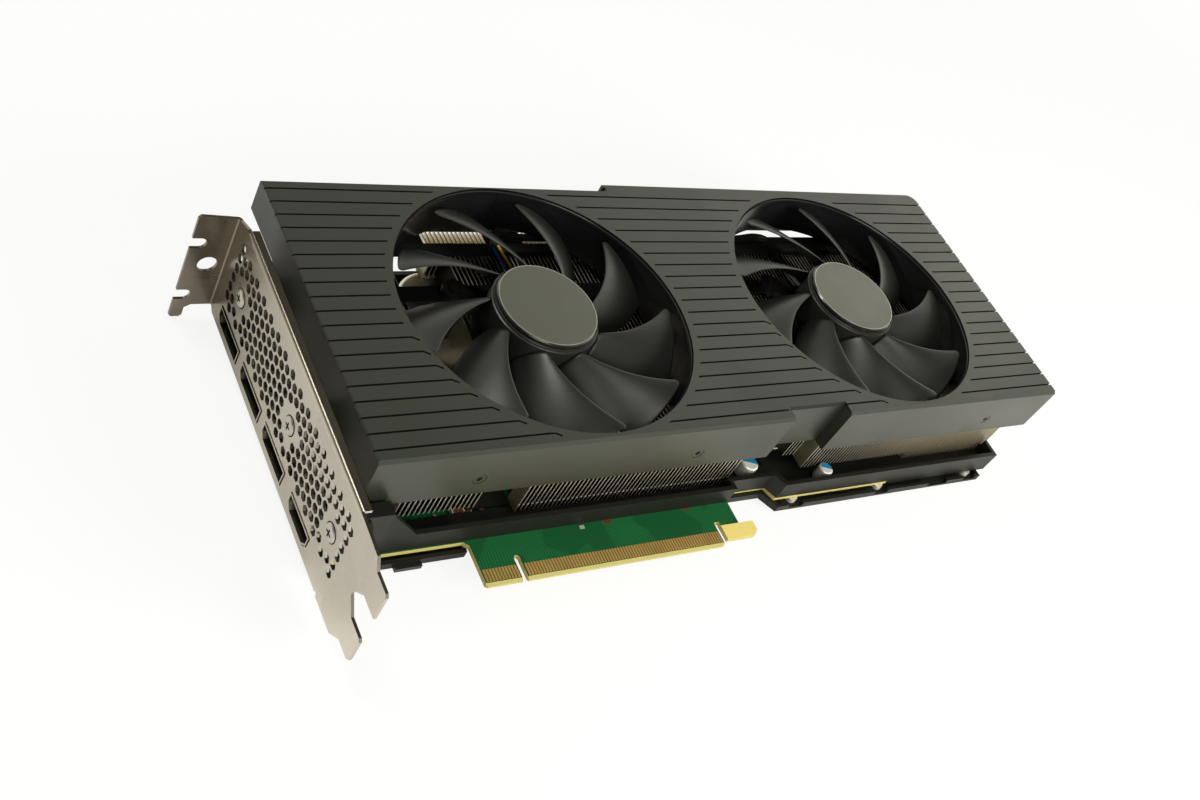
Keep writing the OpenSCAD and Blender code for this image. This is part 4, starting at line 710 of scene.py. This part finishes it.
moved = place(tree, "GeometryNodeTransform", Geometry=ring.outputs[0], Translation=size["Centre"])
finish_tree(tree, end, moved.outputs[0], blade_plastic)
blade_tree = tree
print(tree.name, "has", len(tree.nodes), "nodes")

# %% Hubs and blades for both fans


def lathe(name, profile, centre, material, steps=96, axes=None):
    """Turns a closed (radius, z) profile in millimetres about a vertical axis, or other axes."""
    build = bmesh.new()
    rings = []
    for k in range(steps):
        a = TAU * k / steps
        across, back = math.cos(a), math.sin(a)
        rings.append([build.verts.new(Vector((centre[0] + r * across, centre[1] + r * back, z)) * MM)
                      for r, z in profile])
    n = len(profile)
    for k in range(steps):
        here, after = rings[k], rings[(k + 1) % steps]
        for i in range(n):
            j = (i + 1) % n
            build.faces.new((here[i], after[i], after[j], here[j]))
    bmesh.ops.remove_doubles(build, verts=build.verts, dist=1e-7)
    bmesh.ops.recalc_face_normals(build, faces=build.faces)
    mesh = bpy.data.meshes.new(name)
    build.to_mesh(mesh)
    build.free()
    if axes:
        mesh.transform(axes)
    mesh.materials.append(material)
    made = bpy.data.objects.new(name, mesh)
    scene.collection.objects.link(made)
    shade(made)
    return made


def shade(piece, degrees=35):
    """Smooth shading with edges sharper than the angle kept crisp."""
    mesh = piece.data
    mesh.shade_smooth()
    build = bmesh.new()
    build.from_mesh(mesh)
    for edge in build.edges:
        edge.smooth = not edge.is_manifold or edge.calc_face_angle(0) < math.radians(degrees)
    build.to_mesh(mesh)
    build.free()


HUB = [(17.0, 24.4), (17.0, 33.9), (16.9, 34.3), (16.5, 34.55), (16.45, 35.0), (16.3, 35.2), (1.6, 35.2),
       (1.6, 33.2), (15.4, 33.2), (15.4, 24.4)]
FAN_TURN = (0.0, 6.0)
for k, turn in enumerate(FAN_TURN):
    body = f"fan_{k + 1}"
    cx, cy = FAN_MM[k]
    blades = grow(f"fan_blades_{k + 1}", blade_tree, blade_keys,
                  {"Turn": math.radians(turn), "Centre": (cx * MM, cy * MM, 0.0)})
    hub = lathe(f"fan_hub_{k + 1}", HUB, (cx, cy), blade_plastic)
    for piece in (blades, hub):
        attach(piece, body)
        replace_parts(piece, f"impeller_{k + 1}")

# %% [markdown]
# ## Fan leads
# Four thin insulated wires leave each motor, cross the far foam strip and run along the far edge to a
# plug on the board. A smooth curve through a few points gives the route; a frame carried along it
# keeps the four wires side by side. Each wire has its own colour up to a black sleeve.

# %% Fan leads


def smooth_route(points, steps=6):
    """Catmull-Rom curve through the points."""
    route = []
    for i in range(len(points) - 1):
        a, b = points[max(i - 1, 0)], points[i]
        c, d = points[i + 1], points[min(i + 2, len(points) - 1)]
        for k in range(steps):
            t = k / steps
            bow = (2 * a - 5 * b + 4 * c - d) * t ** 2 + (3 * b - a - 3 * c + d) * t ** 3
            route.append(0.5 * (2 * b + (c - a) * t + bow))
    return route + [points[-1]]


def tube_bundle(name, route, offsets, materials, radius, sleeve, sides=10):
    """Closed tubes side by side along one route, one material each, black past the sleeve's start."""
    build = bmesh.new()
    across = Vector((1, 0, 0))
    rings = [[] for _ in offsets]
    for i, point in enumerate(route):
        ahead = (route[min(i + 1, len(route) - 1)] - route[max(i - 1, 0)]).normalized()
        across = (across - ahead * across.dot(ahead)).normalized()
        up = ahead.cross(across)
        for ring, (a, b) in zip(rings, offsets):
            centre = point + across * a + up * b
            turns = [TAU * q / sides for q in range(sides)]
            ring.append([build.verts.new((centre + radius * (across * math.cos(w) + up * math.sin(w))) * MM)
                         for w in turns])
    for slot, ring in enumerate(rings):
        for i, (here, after) in enumerate(zip(ring, ring[1:])):
            for q in range(sides):
                face = build.faces.new((here[q], here[(q + 1) % sides], after[(q + 1) % sides], after[q]))
                face.material_index = slot if i < sleeve else 0
        for cap in (ring[0][::-1], ring[-1]):
            build.faces.new(cap).material_index = slot
    bmesh.ops.recalc_face_normals(build, faces=build.faces)
    mesh = bpy.data.meshes.new(name)
    build.to_mesh(mesh)
    build.free()
    for material in materials:
        mesh.materials.append(material)
    made = bpy.data.objects.new(name, mesh)
    scene.collection.objects.link(made)
    shade(made, 50)
    return made


LEADS = (
    [(83.9, 80.9, 22.1), (85.1, 85.7, 22), (86, 91, 21.9), (86, 97, 21.85), (85.4, 103, 21.85),
     (86, 108.4, 21.85), (90, 110.8, 21.2), (98, 111, 19.95), (125, 111, 19.95), (144.2, 109.6, 19.95),
     (149.6, 104.5, 17.4), (150.2, 99.5, 12.5), (150, 95.6, 9.4), (150, 95, 6.4)],
    [(204.3, 80.9, 22.1), (203.1, 85.7, 22), (202.2, 91, 21.9), (202.2, 97, 21.85), (202.8, 103, 21.85),
     (202.2, 108.4, 21.85), (198, 110.8, 21.2), (190, 111, 19.95), (174, 111, 19.95), (162, 109.6, 19.98),
     (157.6, 104.5, 17.6), (159, 99.5, 12.5), (160, 95.6, 9.4), (160, 95, 6.4)])
SLEEVE_AT = (26, 3)  # steps along each route
WIRE_R, WIRE_OFF = 0.5, 0.54
WIRE_AT = [(-WIRE_OFF, -WIRE_OFF), (WIRE_OFF, -WIRE_OFF), (WIRE_OFF, WIRE_OFF), (-WIRE_OFF, WIRE_OFF)]
for k, points in enumerate(LEADS):
    route = smooth_route([Vector((bx(d), y, z)) for d, y, z in points])
    lead = tube_bundle(f"lead_wires_{k + 1}", route, WIRE_AT, list(wire_finish.values()), WIRE_R, SLEEVE_AT[k])
    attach(lead, "card")
    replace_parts(lead, f"fan_lead_{k + 1}")
    print(lead.name, len(lead.data.polygons), "faces")

# %% [markdown]
# ## Small parts
# Next come the parts too small for the solids: flat screw heads with black cross shapes and rings painted
# as the shade of their recesses and slits, the contact rows and springs of the sockets with a painted
# highlight strip on each tongue, the glossy lip of each fan duct and a few parts on the board. They could
# be cut into the solids. Boxes and turned profiles laid on them look the same and stay light.

# %% Box helper


def blocks(name, boxes, material):
    """One mesh of plain boxes on the card, each given by its low and high corner in millimetres."""
    build = bmesh.new()
    for low, high in boxes:
        low, high = Vector(low) * MM, Vector(high) * MM
        corner = bmesh.ops.create_cube(build, size=1.0)["verts"]
        for v in corner:
            v.co = Vector([low[i] + (v.co[i] + 0.5) * (high[i] - low[i]) for i in range(3)])
    mesh = bpy.data.meshes.new(name)
    build.to_mesh(mesh)
    build.free()
    mesh.materials.append(material)
    made = bpy.data.objects.new(name, mesh)
    scene.collection.objects.link(made)
    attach(made, "card")
    print(name, len(boxes), "boxes")
    return made


# %% Screws: flat heads and shanks along X on the bracket, a black ring painted as the shade of the slit round each bracket screw, and a black cross painted as the shade in each visible head's recess
HEAD_T = 0.66
HEAD = [(0.0, HEAD_T), (1.9, HEAD_T), (2.4, 0.5), (2.65, 0.15), (2.65, 0.0), (1.45, 0.0), (1.45, -7.0),
        (0.0, -7.0)]
HEAD_SHADE_RING = [(2.6, 0.0), (2.6, 0.06), (2.95, 0.06), (2.95, 0.0)]
SCREW_Y, SCREW_Z = (90.5, 46.4, 13.1), 17.0
SIDE_SCREW_AT, SIDE_SCREW_Z = (41.3, 115.9, 248), 24.8
CROSS, SIDE_CROSS = (1.3, 0.3), (0.9, 0.22)  # half length and half width
CROSS_Y = (18.46, 18.6)
# Painted shade: each bracket screw also gets a thin black ring on the sheet round its head.
for k, y in enumerate(SCREW_Y):
    to_bracket = Matrix(((0, 0, -1, bx(0) * MM), (0, 1, 0, y * MM), (1, 0, 0, SCREW_Z * MM), (0, 0, 0, 1)))
    head = lathe(f"bracket_screw_{k + 1}", HEAD, (0, 0), screw_steel, steps=32, axes=to_bracket)
    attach(head, "card")
    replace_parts(head, "bracket_screws")
    shade_ring = lathe(f"screw_shade_ring_{k + 1}", HEAD_SHADE_RING, (0, 0), black_foam, steps=32, axes=to_bracket)
    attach(shade_ring, "card")
# Painted shade: flat black cross shapes stand for the recesses in the bracket and shroud screw heads.
face = bx(0) - HEAD_T
recess_shades = [((face - 0.02, y - a, SCREW_Z - b), (face + 0.1, y + a, SCREW_Z + b))
           for y in SCREW_Y for a, b in (CROSS, CROSS[::-1])]
recess_shades += [((bx(d) - a, CROSS_Y[0], SIDE_SCREW_Z - b), (bx(d) + a, CROSS_Y[1], SIDE_SCREW_Z + b))
            for d in SIDE_SCREW_AT for a, b in (SIDE_CROSS, SIDE_CROSS[::-1])]
blocks("cross_recess_shades", recess_shades, black_foam)

# %% Sockets: a painted highlight strip on each tongue's front edge, a row of contacts on each tongue, two springs in the lower socket
TONGUES = ((89.95, 6.0), (69.2, 6.0), (48.4, 6.0), (26.5, 5.2))  # middle and half width along Y
SPRING_Y, SPRING_HALF = (27.1, 23.0), 0.75
CONTACTS, CONTACT_HALF = 10, 0.3
TONGUE_D = 1.5
# Painted highlight: a bright strip lies along the front edge of each black tongue; the two springs are real
# parts.
edges, contacts = [], []
for y, half in TONGUES:
    edges.append(((bx(TONGUE_D) - 0.06, y - half, 2.85), (bx(TONGUE_D) + 0.4, y + half, 3.34)))
    for i in range(CONTACTS):
        at = y + (i - (CONTACTS - 1) / 2) * 2 * half / CONTACTS
        contacts.append(((bx(2.2), at - CONTACT_HALF, 3.2), (bx(7.0), at + CONTACT_HALF, 3.4)))
edges += [((bx(1.6), y - SPRING_HALF, 3.2), (bx(4.0), y + SPRING_HALF, 3.7)) for y in SPRING_Y]
blocks("tongue_highlights_and_springs", edges, spring_steel)
blocks("socket_contacts", contacts, gold_plate)

# %% Duct lips, ends of the foam strips, a thin black plate on the board and a lug on the backplate
FIN_TOP = 18.7
LIP = [(46.95, 34.9), (46.8, 35.5), (46.85, 36.1), (47.05, 36.4), (47.26, 36.3), (47.26, 34.9)]
for k, centre in enumerate(FAN_MM):
    lip = lathe(f"duct_lip_{k + 1}", LIP, centre, gloss_plastic, steps=160)
    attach(lip, "card")
SEAL_ENDS = ((46, 63, 104.0, 107.8, 20.6), (46, 62.6, 107.8, 114.0, 19.0), (85, 98.6, 107.8, 114.4, 19.0),
             (174.7, 269.5, 107.8, 112.9, 19.0))
seals = [((bx(d0), y0, FIN_TOP), (bx(d1), y1, z)) for d0, d1, y0, y1, z in SEAL_ENDS]
blocks("seal_ends", seals, black_foam)
# A thin black plate lying on the board between the left and middle fin stacks.
blocks("black_board_plate", [((bx(48.6), 24.2, 0.0), (bx(63.4), 62.0, 1.2))], black_paint)
blocks("plate_lug", [((bx(24), 10.9, -4.1), (bx(32), 12.5, -2.6))], black_plastic)

# %% Ceramic parts and bright ends on the board, seen past the rail
CERAMICS = ((45.2, 23.7, 3.2, 1.8, 1.2), (49.4, 23.6, 1.6, 0.9, 0.7), (53.8, 23.6, 1.6, 0.9, 0.7))
SOLDER = ((44.8, 23.7, 0.4, 1.8, 1.22), (48.4, 23.7, 0.4, 1.8, 1.22), (51.0, 24.6, 2.4, 1.0, 0.9),
          (39.2, 23.5, 0.9, 0.8, 0.5), (51.0, 23.6, 0.3, 0.9, 0.72), (83.4, 13.2, 1.7, 1.1, 0.2))


def on_board(parts):
    """Boxes that stand on the board: d, y, length, depth and height."""
    return [((bx(d), y, 0.0), (bx(d + w), y + t, h)) for d, y, w, t, h in parts]


blocks("ceramic_parts", on_board(CERAMICS), brown_ceramic)
blocks("solder_ends", on_board(SOLDER), spring_steel)

# %% [markdown]
# ## Fin stacks
# The fins are thin stamped sheets, 1.53 mm apart in all three stacks. One sheet is drawn as an
# outline and given its thickness; the tree then repeats it along the card. Where a pipe bend or a
# socket needs room, the outline has a notch, so each stack is a few rows of sheets and a base block.

# %% Fin tree
FIN_PITCH = 1.532
tree, size, end, fin_keys = geometry_tree("fin_row", [
    ("Geometry", "NodeSocketGeometry", None), ("Sheets", INT, 1), ("Pitch", FLOAT, FIN_PITCH * MM)])
spots = place(tree, "GeometryNodeMeshLine", Count=size["Sheets"],
              Offset=place(tree, "ShaderNodeCombineXYZ", X=size["Pitch"]).outputs[0])
row = place(tree, "GeometryNodeInstanceOnPoints", Points=spots.outputs[0], Instance=size["Geometry"])
finish_tree(tree, end, row.outputs[0], fin_sheet, smooth=False)
fin_tree = tree
print(tree.name, "has", len(tree.nodes), "nodes")

# %% Fin outlines
FIN_T = 0.4
FIN_NEAR, FIN_FAR, RIGHT_FAR = 21.2, 114.8, 113.0
LIP_Z, LIP_BACK = 1.3, 26.2
LEFT_Z, BASE_Z, RIGHT_Z = 6.7, 4.7, 4.4
SHORT_FIN, SHORT_NEAR, SHORT_Z = 164.95, 24.2, 8.5


def sheet(d, shape):
    """One sheet whose near face lies d mm from the bracket; its shape is in Y and Z."""
    build = bmesh.new()
    sides = [[build.verts.new((x * MM, y * MM, z * MM)) for y, z in shape] for x in (bx(d), bx(d) + FIN_T)]
    build.faces.new(sides[0])
    build.faces.new(sides[1])
    for i in range(len(shape)):
        j = (i + 1) % len(shape)
        build.faces.new((sides[0][i], sides[0][j], sides[1][j], sides[1][i]))
    bmesh.ops.recalc_face_normals(build, faces=build.faces)
    mesh = bpy.data.meshes.new("sheet")
    build.to_mesh(mesh)
    build.free()
    return mesh


def outline(under):
    """A sheet's outline from its lower corners, front to back, closed along the common top."""
    return [(under[0][0], FIN_TOP), *under, (under[-1][0], FIN_TOP)]


def front_lip(z, far):
    """Lower corners with the front edge reaching down to the rail's flange."""
    return [(FIN_NEAR, LIP_Z), (LIP_BACK, LIP_Z), (LIP_BACK, z), (far, z)]


SOCKET_Y, SOCKET_Z = 99.3, 11.1
SOCKET_NOTCH = [(SOCKET_Y, RIGHT_Z), (SOCKET_Y, SOCKET_Z), (RIGHT_FAR, SOCKET_Z)]
BEND_Z, BEND_Y = 9.2, (54.7, 80.8, 104.0)
BEND_NOTCH = [*front_lip(BEND_Z, BEND_Y[0]), (BEND_Y[0], BASE_Z), (BEND_Y[1], BASE_Z)]
RIGHT_LIP = front_lip(RIGHT_Z, RIGHT_FAR)
FIN_ROWS = (
    ("left", LEFT_FIN, 17, outline([(FIN_NEAR, LEFT_Z), (FIN_FAR, LEFT_Z)])),
    ("middle", MIDDLE_FIN, 3, outline(BEND_NOTCH)),
    ("middle", MIDDLE_FIN, 3, outline([(BEND_Y[2], BEND_Z), (FIN_FAR, BEND_Z)])),
    ("middle", MIDDLE_FIN + 3 * FIN_PITCH, 49, outline(front_lip(BASE_Z, FIN_FAR))),
    ("right", SHORT_FIN, 4, outline([(SHORT_NEAR, SHORT_Z), (RIGHT_FAR, SHORT_Z)])),
    ("right", RIGHT_FIN, 20, outline([(FIN_NEAR, RIGHT_Z), (RIGHT_FAR, RIGHT_Z)])),
    ("right", RIGHT_FIN + 20 * FIN_PITCH, 14, outline([(FIN_NEAR, RIGHT_Z), *SOCKET_NOTCH])),
    ("right", RIGHT_FIN + 34 * FIN_PITCH, 13, outline([*RIGHT_LIP[:3], *SOCKET_NOTCH])),
    ("right", RIGHT_FIN + 47 * FIN_PITCH, 16, outline(RIGHT_LIP)))
BASE_TOP, WIDE_Y, NARROW_Y = 8.8, (43.6, 91.9), (55.8, 79.7)


def base(d0, d1, across):
    """A base block from d0 to d1 along the card, over a span across it."""
    return (bx(d0), across[0], BASE_Z), (bx(d1), across[1], BASE_TOP)


BASES = {
    "left": [base(23.4, 48, NARROW_Y)],
    "middle": [base(68, 142.2, WIDE_Y), base(54, 69, NARROW_Y),
               ((bx(63), BEND_Y[2], BEND_Z), (bx(70), FIN_FAR, BEND_Z + FIN_T))],
    "right": [base(161, 270.6, WIDE_Y)]}
print("fin rows:", len(FIN_ROWS))

# %% Fin rows, base blocks and tabs
for k, (stack, d, count, shape) in enumerate(FIN_ROWS):
    row = grow(f"fin_row_{k + 1}", fin_tree, fin_keys, {"Sheets": count}, seed=sheet(d, shape))
    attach(row, "card")
    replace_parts(row, "fin_stack_" + stack)
for stack, boxes in BASES.items():
    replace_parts(blocks("fin_base_" + stack, boxes, fin_sheet), "fin_stack_" + stack)
MIDDLE_FINS = 52
tab_at = [bx(MIDDLE_FIN + i * FIN_PITCH) for i in range(MIDDLE_FINS)]
tabs = [((x - 0.08, 21.1, 4.4), (x + 0.48, 21.5, 4.8)) for x in tab_at]
blocks("fin_tabs", tabs, spring_steel)
